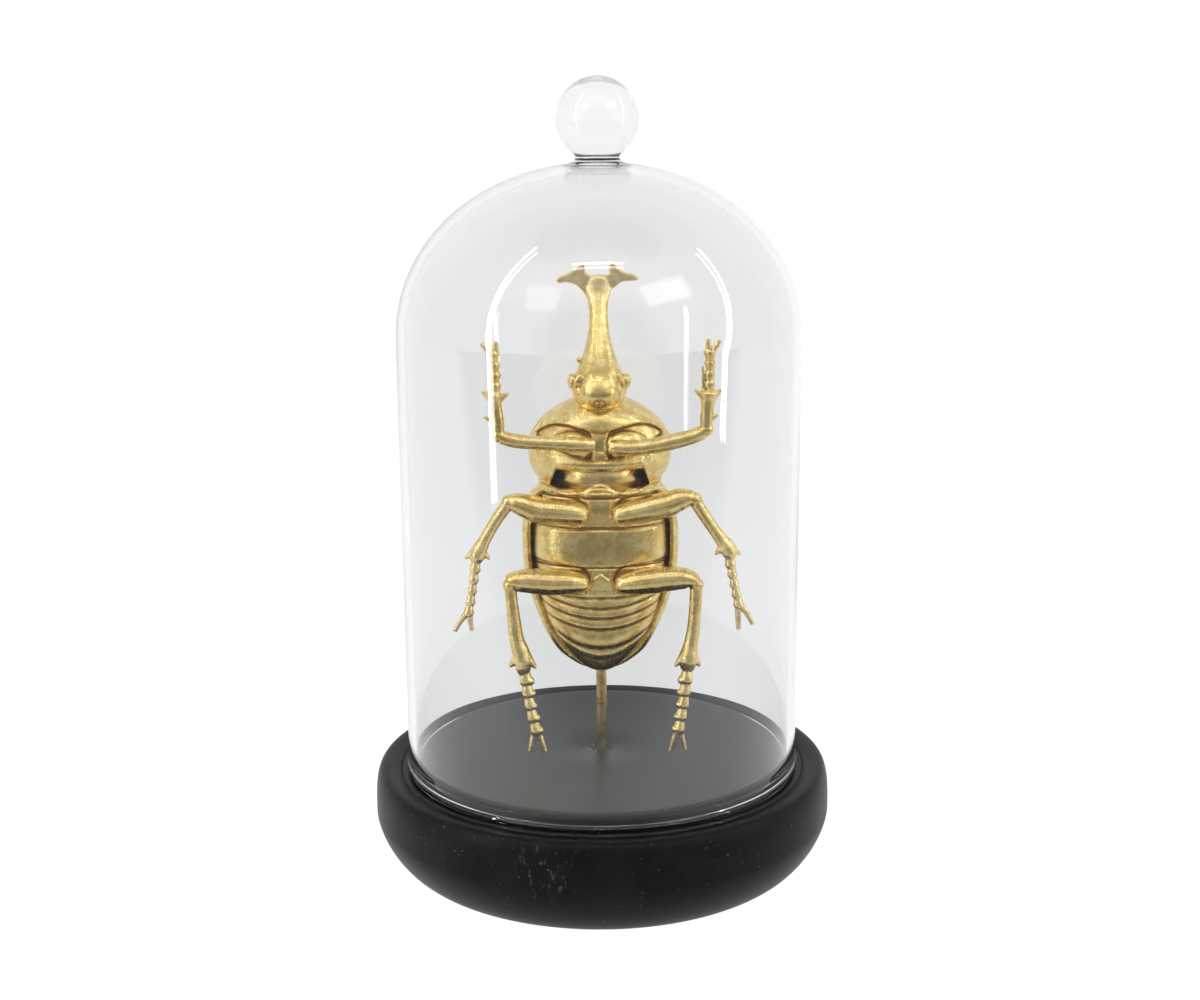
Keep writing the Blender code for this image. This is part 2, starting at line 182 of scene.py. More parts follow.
class Graph:
    """The node graph of one material."""

    def __init__(self, name: str) -> None:
        """Makes a material with a lone Principled shader.

        Its name ends in _look, because the frame brings plain materials under the slots' own names.

        Args:
            name: The material's name.
        """
        self.material = bpy.data.materials.new(f"{name}_look")
        self.material.use_nodes = True
        self.tree = self.material.node_tree
        self.shader = self.tree.nodes["Principled BSDF"]
        self.place = self.node("ShaderNodeTexCoord").outputs["Object"]
        axes = self.node("ShaderNodeSeparateXYZ", inputs={0: self.place}).outputs
        self.x, self.y, self.z = (Value(self, axis) / MM for axis in axes)

    def node(
        self, kind: str, settings: dict[str, Any] | None = None, inputs: dict[Any, Any] | None = None
    ) -> bpy.types.Node:
        """Adds any node to this graph.

        Args:
            kind: The node's type.
            settings: Its own properties, set first.
            inputs: Values or links of its sockets, by name or number.

        Returns:
            The node.
        """
        return add_node(self.tree, kind, settings, inputs)

    def noise(
        self, size_mm: float, detail: float = 2.0, rough: float = 0.5, squash: Place = (1, 1, 1)
    ) -> Value:
        """Fractal noise over the object.

        Args:
            size_mm: The rough size of one blotch.
            detail: Octaves of finer noise.
            rough: How strong the finer octaves are.
            squash: Scale along each axis, to draw the blotches out.

        Returns:
            The noise, about 0.5.
        """
        mapped = self.node("ShaderNodeMapping", inputs={"Vector": self.place, "Scale": squash})
        made = self.node(
            "ShaderNodeTexNoise",
            inputs={
                "Vector": mapped.outputs[0],
                "Scale": 1 / (size_mm * MM),
                "Detail": detail,
                "Roughness": rough,
            },
        )
        return Value(self, made.outputs[0])

    def attribute(self, name: str) -> Value:
        """A number stored on the mesh's vertices."""
        return Value(self, self.node("ShaderNodeAttribute", {"attribute_name": name}).outputs["Fac"])

    def blend(self, factor: Value, first: Any, second: Any) -> bpy.types.NodeSocket:
        """Mixes two colours.

        Args:
            factor: 0 for the first, 1 for the second.
            first: A colour or a colour socket.
            second: A colour or a colour socket.

        Returns:
            The mixed colour's socket.
        """
        ends = [(*end, 1.0) if isinstance(end, tuple) else end for end in (first, second)]
        made = self.node("ShaderNodeMix", {"data_type": "RGBA"}, {0: factor, 6: ends[0], 7: ends[1]})
        return made.outputs[2]

    def set(self, **sockets: Any) -> None:
        """Sets or links the Principled shader's sockets, named with underscores for spaces."""
        for name, value in sockets.items():
            socket = self.shader.inputs[name.replace("_", " ")]
            if isinstance(value, Value):
                self.tree.links.new(value.socket, socket)
            elif isinstance(value, bpy.types.NodeSocket):
                self.tree.links.new(value, socket)
            else:
                socket.default_value = (*value, 1.0) if isinstance(value, tuple) else value

    def bump(self, *layers: tuple[Value, float]) -> None:
        """Links a bump of one or more layers to the shader's normal.

        Args:
            layers: Each a height from 0 to 1 and how many millimetres it stands for.
        """
        height = sum((layer * depth for layer, depth in layers[1:]), layers[0][0] * layers[0][1])
        made = self.node("ShaderNodeBump", inputs={"Height": height, "Distance": MM, "Strength": 1.0})
        self.tree.links.new(made.outputs["Normal"], self.shader.inputs["Normal"])


# ---------------------------------------------------------------- finishes


@dataclass(frozen=True)
class GoldPaint:
    """Grainy satin gold paint on a casting, with painted shade: brown, duller gold over its creases and
    seams.
    """

    name: str = "gold_paint"
    pale: tuple[float, float, float] = (0.96, 0.77, 0.34)
    deep: tuple[float, float, float] = (0.84, 0.61, 0.22)
    # Painted shade: the brown that the creases are darkened to.
    crease_shade_colour: tuple[float, float, float] = (0.30, 0.15, 0.03)
    roughness: float = 0.22
    grain_mm: float = 0.36
    grain_depth_mm: float = 0.032

    def material(self) -> bpy.types.Material:
        """Builds the material.

        Returns:
            The finished material.
        """
        graph = Graph(self.name)
        grain = graph.noise(self.grain_mm, 3.0, 0.6)
        patches = graph.noise(3.0, 2.0, 0.5)
        pits = graph.noise(1.1, 1.0, 0.4).between(0.66, 0.74)
        # Painted shade: the deeper a crease, the browner, duller and rougher the gold there.
        crease = graph.attribute(CREASE)
        crease_shade_mask = crease.between(0.08, 0.75)
        worn = (1 - crease_shade_mask) * patches.between(0.38, 0.66)
        colour = graph.blend(worn, self.deep, self.pale)
        colour = graph.blend(crease_shade_mask * 0.92, colour, self.crease_shade_colour)
        graph.set(
            Base_Color=colour,
            Metallic=1 - 0.3 * crease_shade_mask,
            Roughness=self.roughness + 0.10 * patches + 0.16 * crease_shade_mask + 0.14 * (grain - 0.5) + 0.12 * pits,
        )
        graph.bump((grain, self.grain_depth_mm), (patches, 0.006), (1 - pits, 0.012))
        return graph.material


@dataclass(frozen=True)
class BlackLacquer:
    """Satin black lacquer on turned wood, with a little dust, one scuff and gold smeared round the rod."""

    name: str = "black_lacquer"
    black: tuple[float, float, float] = (0.002, 0.002, 0.0022)
    grey: tuple[float, float, float] = (0.005, 0.005, 0.0054)
    dust: tuple[float, float, float] = (0.22, 0.21, 0.20)
    gilt: tuple[float, float, float] = (0.45, 0.33, 0.12)
    roughness: float = 0.40
    scuff_place: Place = (-17.0, -71.0, 23.5)
    scuff_size_mm: float = 11.0

    def material(self) -> bpy.types.Material:
        """Builds the material.

        Returns:
            The finished material.
        """
        graph = Graph(self.name)
        cloud = graph.noise(16.0, 3.0, 0.6)
        specks = graph.noise(0.75, 0.0, 0.5).between(0.815, 0.835)
        radius = (graph.x**2 + graph.y**2) ** 0.5
        turning = graph.noise(1.6, 2.0, 0.6, (0.05, 0.05, 1.0))
        away = [axis - place for axis, place in zip((graph.x, graph.y, graph.z), self.scuff_place)]
        distance = (away[0] ** 2 + away[1] ** 2 + away[2] ** 2) ** 0.5
        scratch = graph.noise(1.2, 3.0, 0.7, (1.0, 1.0, 0.25)).between(0.56, 0.68)
        rubbed = distance.between(self.scuff_size_mm, 2.0) * scratch
        smear = radius.between(6.0, 2.6) * graph.noise(0.8, 2.0, 0.6).between(0.50, 0.62)
        smear = smear * graph.z.between(33.0, 33.4)
        colour = graph.blend(cloud.between(0.35, 0.7), self.black, self.grey)
        colour = graph.blend(specks * 0.3, colour, self.dust)
        colour = graph.blend(rubbed * 0.35, colour, self.dust)
        colour = graph.blend(smear * 0.8, colour, self.gilt)
        graph.set(
            Base_Color=colour,
            Roughness=self.roughness + 0.14 * (cloud - 0.5) + 0.10 * rubbed + 0.2 * specks,
            Metallic=smear * 0.6,
            Specular_IOR_Level=0.09,
            Coat_Weight=0.2 * radius.between(60.5, 59.5) * graph.z.between(32.0, 33.0),
            Coat_Roughness=0.38,
        )
        graph.bump((turning, 0.0006), (specks, 0.012), (rubbed, -0.008))
        return graph.material


@dataclass(frozen=True)
class ClearGlass:
    """Blown glass, clear with the faintest cool grey, and very slightly wavy."""

    name: str = "clear_glass"
    tint: tuple[float, float, float] = (0.842, 0.846, 0.849)
    index: float = 1.5
    wave_mm: float = 38.0
    wave_depth_mm: float = 0.10

    def material(self) -> bpy.types.Material:
        """Builds the material.

        Returns:
            The finished material.
        """
        graph = Graph(self.name)
        graph.set(Base_Color=self.tint, Roughness=0.0, IOR=self.index, Transmission_Weight=1.0)
        graph.bump((graph.noise(self.wave_mm, 0.0, 0.5, (1.0, 1.0, 0.6)), self.wave_depth_mm))
        return graph.material


@dataclass(frozen=True)
class GiltBrass:
    """Drawn brass bar under thin gold paint, with faint lines along it."""

    name: str = "gilt_brass"
    pale: tuple[float, float, float] = (0.74, 0.58, 0.27)
    deep: tuple[float, float, float] = (0.48, 0.33, 0.11)

    def material(self) -> bpy.types.Material:
        """Builds the material.

        Returns:
            The finished material.
        """
        graph = Graph(self.name)
        drawn = graph.noise(0.5, 2.0, 0.6, (1.0, 1.0, 0.04))
        patches = graph.noise(3.0, 2.0, 0.6)
        grain = graph.noise(0.3, 2.0, 0.6)
        colour = graph.blend(patches.between(0.36, 0.66), self.deep, self.pale)
        graph.set(
            Base_Color=colour,
            Metallic=0.95,
            Roughness=0.30 + 0.16 * drawn + 0.10 * (patches - 0.5),
        )
        graph.bump((drawn, 0.02), (grain, 0.018))
        return graph.material


class Finish(Enum):
    """The finishes of this object, each with the record's slot of the same name."""

    GOLD = GoldPaint()
    LACQUER = BlackLacquer()
    GLASS = ClearGlass()
    BRASS = GiltBrass()

    def material(self) -> bpy.types.Material:
        """The finish's material, built the first time it is asked for."""
        return bpy.data.materials.get(f"{self.value.name}_look") or self.value.material()


# ---------------------------------------------------------------- modelling helpers


def deselect() -> None:
    """Leaves edit mode and deselects everything."""
    if bpy.context.object and bpy.context.object.mode != "OBJECT":
        bpy.ops.object.mode_set(mode="OBJECT")
    bpy.ops.object.select_all(action="DESELECT")


def pick(*objects: bpy.types.Object) -> None:
    """Selects only these objects and makes the first one active."""
    deselect()
    for obj in objects:
        obj.select_set(True)
    bpy.context.view_layer.objects.active = objects[0]


def edit(obj: bpy.types.Object, *steps: Callable[[], Any]) -> None:
    """Runs operators on one object's whole mesh in edit mode.

    Args:
        obj: The object to work on.
        steps: Calls that each run one operator.
    """
    pick(obj)
    bpy.ops.object.mode_set(mode="EDIT")
    bpy.ops.mesh.select_all(action="SELECT")
    for step in steps:
        step()
    bpy.ops.object.mode_set(mode="OBJECT")


def modify(obj: bpy.types.Object, kind: str, **settings: Any) -> None:
    """Adds a modifier and applies it.

    Args:
        obj: The object to change.
        kind: The modifier's type.
        settings: The modifier's own properties.
    """
    pick(obj)
    modifier = obj.modifiers.new(kind.title(), kind)
    for name, value in settings.items():
        setattr(modifier, name, value)
    bpy.ops.object.modifier_apply(modifier=modifier.name)


def positions(obj: bpy.types.Object) -> np.ndarray:
    """The object's vertices, one row each, in millimetres."""
    flat = np.empty(len(obj.data.vertices) * 3, np.float32)
    obj.data.vertices.foreach_get("co", flat)
    return flat.reshape(-1, 3).astype(np.float64) / MM


def set_positions(obj: bpy.types.Object, places: np.ndarray) -> None:
    """Moves the object's vertices.

    Args:
        obj: The object to change.
        places: One row for each vertex, in millimetres.
    """
    obj.data.vertices.foreach_set("co", (places * MM).astype(np.float32).ravel())
    obj.data.update()


def close_up(obj: bpy.types.Object, merge_mm: float = 0.001) -> None:
    """Merges doubled points and turns every face outwards."""
    edit(
        obj,
        lambda: bpy.ops.mesh.remove_doubles(threshold=merge_mm * MM),
        lambda: bpy.ops.mesh.normals_make_consistent(inside=False),
    )


def fuse(name: str, objects: Sequence[bpy.types.Object], voxel_mm: float, rounds: int) -> bpy.types.Object:
    """Casts several overlapping shapes into one skin.

    Args:
        name: The joined piece's name.
        objects: The shapes, each a closed mesh.
        voxel_mm: The grain of the new skin.
        rounds: How many times the skin is smoothed.

    Returns:
        The joined piece.
    """
    pick(*objects)
    bpy.ops.object.join()
    piece = bpy.context.object
    piece.name = name
    modify(piece, "REMESH", mode="VOXEL", voxel_size=voxel_mm * MM, adaptivity=0.0)
    modify(piece, "SMOOTH", factor=0.5, iterations=rounds)
    return piece


def mark_creases(obj: bpy.types.Object, reach: int = 5, full_mm: float = 0.10) -> None:
    """Stores how deep each vertex sits in a hollow, for painted shade in the creases.

    Args:
        obj: The object to measure.
        reach: How many edges away a hollow is looked for.
        full_mm: The depth that counts as a full crease.
    """
    mesh = obj.data
    count = len(mesh.vertices)
    edges = np.empty(len(mesh.edges) * 2, np.int64)
    mesh.edges.foreach_get("vertices", edges)
    first, second = edges.reshape(-1, 2).T
    here = positions(obj)
    normals = np.empty(count * 3, np.float32)
    mesh.vertices.foreach_get("normal", normals)
    degree = np.bincount(first, minlength=count) + np.bincount(second, minlength=count)
    degree = np.maximum(degree, 1)

    def averaged(rows: np.ndarray) -> np.ndarray:
        """Each vertex's neighbours averaged, column by column."""
        columns = [
            np.bincount(first, rows[second, k], count) + np.bincount(second, rows[first, k], count)
            for k in range(rows.shape[1])
        ]
        return np.stack(columns, axis=1) / degree[:, None]

    soft = here
    for _ in range(reach):
        soft = averaged(soft)
    depth = ((soft - here) * normals.reshape(-1, 3)).sum(axis=1, keepdims=True)
    for _ in range(2):
        depth = averaged(depth)
    layer = mesh.attributes.new(CREASE, "FLOAT", "POINT")
    layer.data.foreach_set("value", np.clip(depth[:, 0] / full_mm, 0.0, 1.0).astype(np.float32))


def finish_piece(
    obj: bpy.types.Object, name: str, finish: Finish, node: str, smooth_angle: float = 180.0
) -> None:
    """Dresses a finished piece and hands it to the frame.

    Args:
        obj: The piece, at the origin, unturned and unscaled.
        name: The piece's name.
        finish: Its finish.
        node: The frame's node that it stands for.
        smooth_angle: Edges sharper than this many degrees stay sharp.
    """
    pick(obj)
    obj.name = name
    obj.data.name = name
    bpy.ops.object.transform_apply(location=True, rotation=True, scale=True)
    bpy.ops.object.shade_smooth_by_angle(angle=math.radians(smooth_angle))
    obj.data.materials.clear()
    obj.data.materials.append(finish.material())
    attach(obj, BODY)
    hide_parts(node)
    log.info("%s: %d faces, stands for %s", name, len(obj.data.polygons), node)


def step(low: float, high: float, value: np.ndarray) -> np.ndarray:
    """A smooth step from 0 at low to 1 at high; low may be the larger."""
    share = np.clip((value - low) / (high - low), 0.0, 1.0)
    return share * share * (3 - 2 * share)


def hump(centre: float, half: float, value: np.ndarray) -> np.ndarray:
    """A smooth hump of height 1 at the centre that is gone at half its width away."""
    return np.cos(np.clip((value - centre) / half, -1.0, 1.0) * math.pi / 2) ** 2


@dataclass
class Loft:
    """A closed rounded body through stations of height, half width, front depth, back depth and centre Y."""

    stations: Sequence[tuple[float, ...]]
    rings: int = 240
    sides: int = 256
    squareness: float = 0.92
    set_back: float = 0.0

    def rows(self, share: np.ndarray) -> np.ndarray:
        """The body's sizes at shares of its length, along a smooth curve through the stations.

        Args:
            share: 0 at the top pole and 1 at the bottom one.

        Returns:
            One row of station values for each share.
        """
        knots = np.array([(*row, 0.0)[:5] for row in self.stations], float)
        knots[:, 2:] += np.array([self.set_back, -self.set_back, self.set_back])
        knots[:, 2:4] = np.where(knots[:, 1:2] > 0, knots[:, 2:4], 0.0)
        places = np.linspace(0, len(knots) - 1, 3000)
        index = np.minimum(places.astype(int), len(knots) - 2)
        t = (places - index)[:, None]
        padded = np.vstack([knots[:1], knots, knots[-1:]])
        a, b, c, d = (padded[index + k] for k in range(4))
        bend, twist = 2 * a - 5 * b + 4 * c - d, 3 * b - a - 3 * c + d
        curve = 0.5 * (2 * b + (c - a) * t + bend * t**2 + twist * t**3)
        curve[:, 1:4] = np.maximum(curve[:, 1:4], 0.0)
        along = np.concatenate([[0], np.cumsum(np.hypot(*np.diff(curve[:, :2], axis=0).T))])
        wanted = share * along[-1]
        return np.stack([np.interp(wanted, along, curve[:, k]) for k in range(5)], axis=1)

    def build(self, name: str, relief: Relief | None = None) -> bpy.types.Object:
        """Models the body from a sphere.

        Args:
            name: The object's name.
            relief: How far the front's detail stands forward, in mm, from the points' x and z.

        Returns:
            The closed mesh object.
        """
        deselect()
        bpy.ops.mesh.primitive_uv_sphere_add(segments=self.sides, ring_count=self.rings, radius=1.0)
        obj = bpy.context.object
        obj.name = name
        flat = np.empty(len(obj.data.vertices) * 3, np.float32)
        obj.data.vertices.foreach_get("co", flat)
        x, y, z = flat.reshape(-1, 3).astype(float).T
        share = np.round(np.arccos(np.clip(z, -1, 1)) / math.pi * self.rings) / self.rings
        around = np.arctan2(y, x)
        height, half, front, back, centre = self.rows(share).T
        flatter = self.squareness
        across = np.sign(np.cos(around)) * np.abs(np.cos(around)) ** flatter
        deep = np.sign(np.sin(around)) * np.abs(np.sin(around)) ** flatter
        depth = np.where(deep > 0, back, front)
        places = np.stack([half * across, centre + depth * deep, height], axis=1)
        if relief is not None:
            facing = step(0.10, 0.62, -np.sin(around))
            places[:, 1] -= relief(places[:, 0], places[:, 2]) * facing
        set_positions(obj, places)
        return obj


def tube(name: str, path: Sequence[tuple[float, ...]], sides: int = 5, fine: int = 6) -> bpy.types.Object:
    """A closed tube along a smooth curve, with its own thickness at each point.

    Args:
        name: The object's name.
        path: Points of x, y, z and radius in mm.
        sides: Bevel steps of a quarter turn.
        fine: Rings between two points.

    Returns:
        The tube as a mesh object.
    """
    deselect()
    bpy.ops.curve.primitive_bezier_curve_add()
    obj = bpy.context.object
    obj.name = name
    curve = obj.data
    curve.dimensions = "3D"
    curve.bevel_depth = MM
    curve.bevel_resolution = sides
    curve.resolution_u = fine
    curve.use_fill_caps = True
    curve.twist_mode = "MINIMUM"
    spline = curve.splines[0]
    spline.bezier_points.add(len(path) - len(spline.bezier_points))
    for point, (x, y, z, radius) in zip(spline.bezier_points, path):
        point.co = Vector((x, y, z)) * MM
        point.radius = radius
        point.handle_left_type = point.handle_right_type = "AUTO"
    spline.radius_interpolation = "LINEAR"
    bpy.ops.object.convert(target="MESH")
    obj = bpy.context.object
    close_up(obj, 0.01)
    return obj


def ball(name: str, centre: Place, size: Place, turn: float = 0.0) -> bpy.types.Object:
    """A stretched ball.

    Args:
        name: The object's name.
        centre: Its middle, in mm.
        size: Its half sizes, in mm.
        turn: Degrees that it leans about Y.

    Returns:
        The ball as a mesh object with its place applied.
    """
    deselect()
    bpy.ops.mesh.primitive_uv_sphere_add(segments=48, ring_count=32, radius=1.0)
    obj = bpy.context.object
    obj.name = name
    lean = Matrix.Rotation(math.radians(turn), 4, "Y")
    stretch = Matrix.Diagonal((*(Vector(size) * MM), 1))
    obj.data.transform(Matrix.Translation(Vector(centre) * MM) @ lean @ stretch)
    return obj


# ---------------------------------------------------------------- turned pieces


def quarter(
    centre: tuple[float, float], width: float, height: float, power: float, steps: int
) -> list[tuple[float, float]]:
    """Points of a quarter of a superellipse, from its top or foot round to its side.

    Args:
        centre: Radius and height of its middle.
        width: Its reach outwards.
        height: Its reach upwards, or downwards if below zero.
        power: 2 for an ellipse, more for a squarer shoulder.
        steps: How many straight steps stand for it.

    Returns:
        Points of radius and height.
    """
    angles = [math.pi / 2 * (1 - k / steps) for k in range(steps + 1)]
    return [
        (
            centre[0] + width * max(math.cos(a), 0.0) ** (2 / power),
            centre[1] + height * max(math.sin(a), 0.0) ** (2 / power),
        )
        for a in angles
    ]


def turned(name: str, profile: Sequence[tuple[float, float]], steps: int) -> bpy.types.Object:
    """Turns an outline round the Z axis.

    Args:
        name: The object's name.
        profile: Points of radius and height in mm, with both ends on the axis.
        steps: How many steps make the full turn.

    Returns:
        The closed turned mesh.
    """
    deselect()
    bpy.ops.mesh.primitive_plane_add(size=MM)
    obj = bpy.context.object
    obj.name = name
    edit(obj, lambda: bpy.ops.mesh.delete(type="VERT"))
    obj.data.vertices.add(len(profile))
    obj.data.edges.add(len(profile) - 1)
    for number, (radius, height) in enumerate(profile):
        obj.data.vertices[number].co = (radius * MM, 0, height * MM)
    for number in range(len(profile) - 1):
        obj.data.edges[number].vertices = (number, number + 1)
    obj.data.update()
    edit(
        obj,
        lambda: bpy.ops.mesh.spin(steps=steps, angle=math.tau, center=(0, 0, 0), axis=(0, 0, 1)),
        lambda: bpy.ops.mesh.select_all(action="SELECT"),
        lambda: bpy.ops.mesh.remove_doubles(threshold=0.002 * MM),
        lambda: bpy.ops.mesh.normals_make_consistent(inside=False),
    )
    return obj


@dataclass
class Base:
    """The turned base with its rim, the dome's groove, the raised disc and the rod's countersink."""

    foot_radius: float = 62.9
    widest_z: float = 17.2
    rim_radius: float = 71.0
    rim_z: float = 31.8
    rim_inner_z: float = 31.2
    groove_radii: tuple[float, float] = (60.0, 66.6)
    groove_z: float = 30.5
    disc_round: float = 0.9
    sink_radius: float = 4.0
    sink_depth: float = 1.0
    hole_radius: float = 1.9
    hole_floor_z: float = 23.0
    edge: float = 0.35
    rim_edge: float = 0.25
    side_power: float = 3.2
    under_power: float = 1.52
    foot_flat: float = 8.0
    steps: int = 192

    def build(self) -> None:
        """Turns and dresses the base."""
        low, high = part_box("base")
        radius, top = high[0] / MM, high[2] / MM
        inner, outer = self.groove_radii
        edge, soft, hole = self.edge, self.disc_round, self.hole_radius
        floor = top - self.sink_depth
        profile = [(0, self.hole_floor_z), (hole, self.hole_floor_z), (hole, floor)]
        profile += [(self.sink_radius - 0.6, floor), (self.sink_radius - 0.1, top - 0.15)]
        profile += [(self.sink_radius + 0.2, top), (20.0, top), (42.0, top), (55.0, top)]
        profile += quarter((inner - soft, top - soft), soft, soft, 2, 8)
        profile += [(inner, self.groove_z + edge), (inner + edge, self.groove_z)]
        profile += [(outer - edge, self.groove_z), (outer, self.groove_z + edge)]
        profile += [(outer, self.rim_inner_z - self.rim_edge), (outer + self.rim_edge, self.rim_inner_z)]
        rim, widest = self.rim_radius, self.widest_z
        profile += quarter((rim, widest), radius - rim, self.rim_z - widest, self.side_power, 30)
        foot = self.foot_radius
        under = quarter((foot, widest), radius - foot, -widest, self.under_power, 28)
        profile += under[-2::-1]
        profile += [(foot - self.foot_flat, low[2]), (0, low[2])]
        base = turned("turned_base", profile, self.steps)
        finish_piece(base, "turned_base", Finish.LACQUER, "base", 38)


@dataclass
class Dome:
    """The blown dome with its melted foot, short neck and solid ball knob, one piece of glass."""

    radius: float = 64.0
    wall: float = 2.5
    bead: float = 0.5
    bead_height: float = 6.5
    shoulder_z: float = 172.0
    top_z: float = 226.3
    power: float = 2.05
    neck_radius: float = 6.9
    knob_radius: float = 13.0
    lip: float = 1.5
    steps: int = 192

    def build(self) -> None:
        """Turns and dresses the dome."""
        low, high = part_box("glass_dome")
        foot, knob_z = low[2] / MM, high[2] / MM - self.knob_radius
        inner = self.radius - self.wall
        profile = []
        start = math.acos((self.neck_radius + 0.5) / self.knob_radius)
        for k in range(41):
            angle = math.pi / 2 - (math.pi / 2 + start) * k / 40
            profile.append((self.knob_radius * math.cos(angle), knob_z + self.knob_radius * math.sin(angle)))
        profile[0] = (0, knob_z + self.knob_radius)
        neck = self.neck_radius
        profile += [(neck + 0.1, self.top_z + 1.6), (neck, self.top_z + 1.1), (neck + 0.15, self.top_z + 0.7)]
        profile += [(neck + 0.6, self.top_z + 0.25), (neck + 1.4, self.top_z - 0.15)]
        outer = quarter((0, self.shoulder_z), self.radius, self.top_z - self.shoulder_z, self.power, 72)
        profile += [point for point in outer if point[0] > neck + 2.4]
        profile += [(self.radius, z) for z in (140.0, 100.0, 60.0, foot + self.bead_height + 1)]
        lip = self.lip
        shares = [k / 12 for k in range(13)]
        swell = [(z * self.bead_height, self.bead * math.cos(math.pi / 2 * z) ** 2) for z in shares[::-1]]
        swell = [(rise, bulge) for rise, bulge in swell if rise > lip]
        profile += [(self.radius + bulge, foot + rise) for rise, bulge in swell]
        outside, inside = self.radius + self.bead - lip, inner - self.bead + lip
        for k in range(9):
            angle = math.pi / 2 * k / 8
            profile.append((outside + lip * math.cos(angle), foot + lip * (1 - math.sin(angle))))
        for k in range(9):
            angle = math.pi / 2 * (1 - k / 8)
            profile.append((inside - lip * math.cos(angle), foot + lip * (1 - math.sin(angle))))
        profile += [(inner - bulge, foot + rise) for rise, bulge in swell[::-1]]
        profile += [(inner, z) for z in (foot + self.bead_height + 1, 60.0, 100.0, 140.0)]
        rise = self.top_z - self.wall - 0.4 - self.shoulder_z
        profile += quarter((0, self.shoulder_z), inner, rise, self.power, 60)[::-1]
        profile[-1] = (0, profile[-1][1])
        dome = turned("blown_dome", profile, self.steps)
        finish_piece(dome, "blown_dome", Finish.GLASS, "glass_dome", 60)


@dataclass
class Rod:
    """The straight bar between the base and the beetle."""

    sides: int = 64
    edge: float = 0.3

    def build(self) -> None:
        """Models and dresses the rod."""
        low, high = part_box("rod")
        deselect()
        middle = [(a + b) / 2 for a, b in zip(low, high)]
        bpy.ops.mesh.primitive_cylinder_add(
            vertices=self.sides, radius=(high[0] - low[0]) / 2, depth=high[2] - low[2], location=middle
        )
        rod = bpy.context.object
        modify(rod, "BEVEL", width=self.edge * MM, segments=3, limit_method="ANGLE")
        finish_piece(rod, "gilt_rod", Finish.BRASS, "rod", 40)


# ---------------------------------------------------------------- the beetle


def socket(
    x: np.ndarray, z: np.ndarray, start: tuple[float, float], end: tuple[float, float], size: float
) -> np.ndarray:
    """How far inside a leg's seat each point lies.

    Args:
        x: Points across.
        z: Their heights.
        start: The seat's inner end.
        end: Its outer end.
        size: The seat's half width.

    Returns:
        1 in the seat, 0 outside it, with a short soft edge.
    """
    run = np.array(end) - np.array(start)
    share = np.clip(((x - start[0]) * run[0] + (z - start[1]) * run[1]) / run.dot(run), 0, 1)
    away = np.hypot(x - start[0] - share * run[0], z - start[1] - share * run[1])
    return step(size + 0.45, size - 0.35, away)


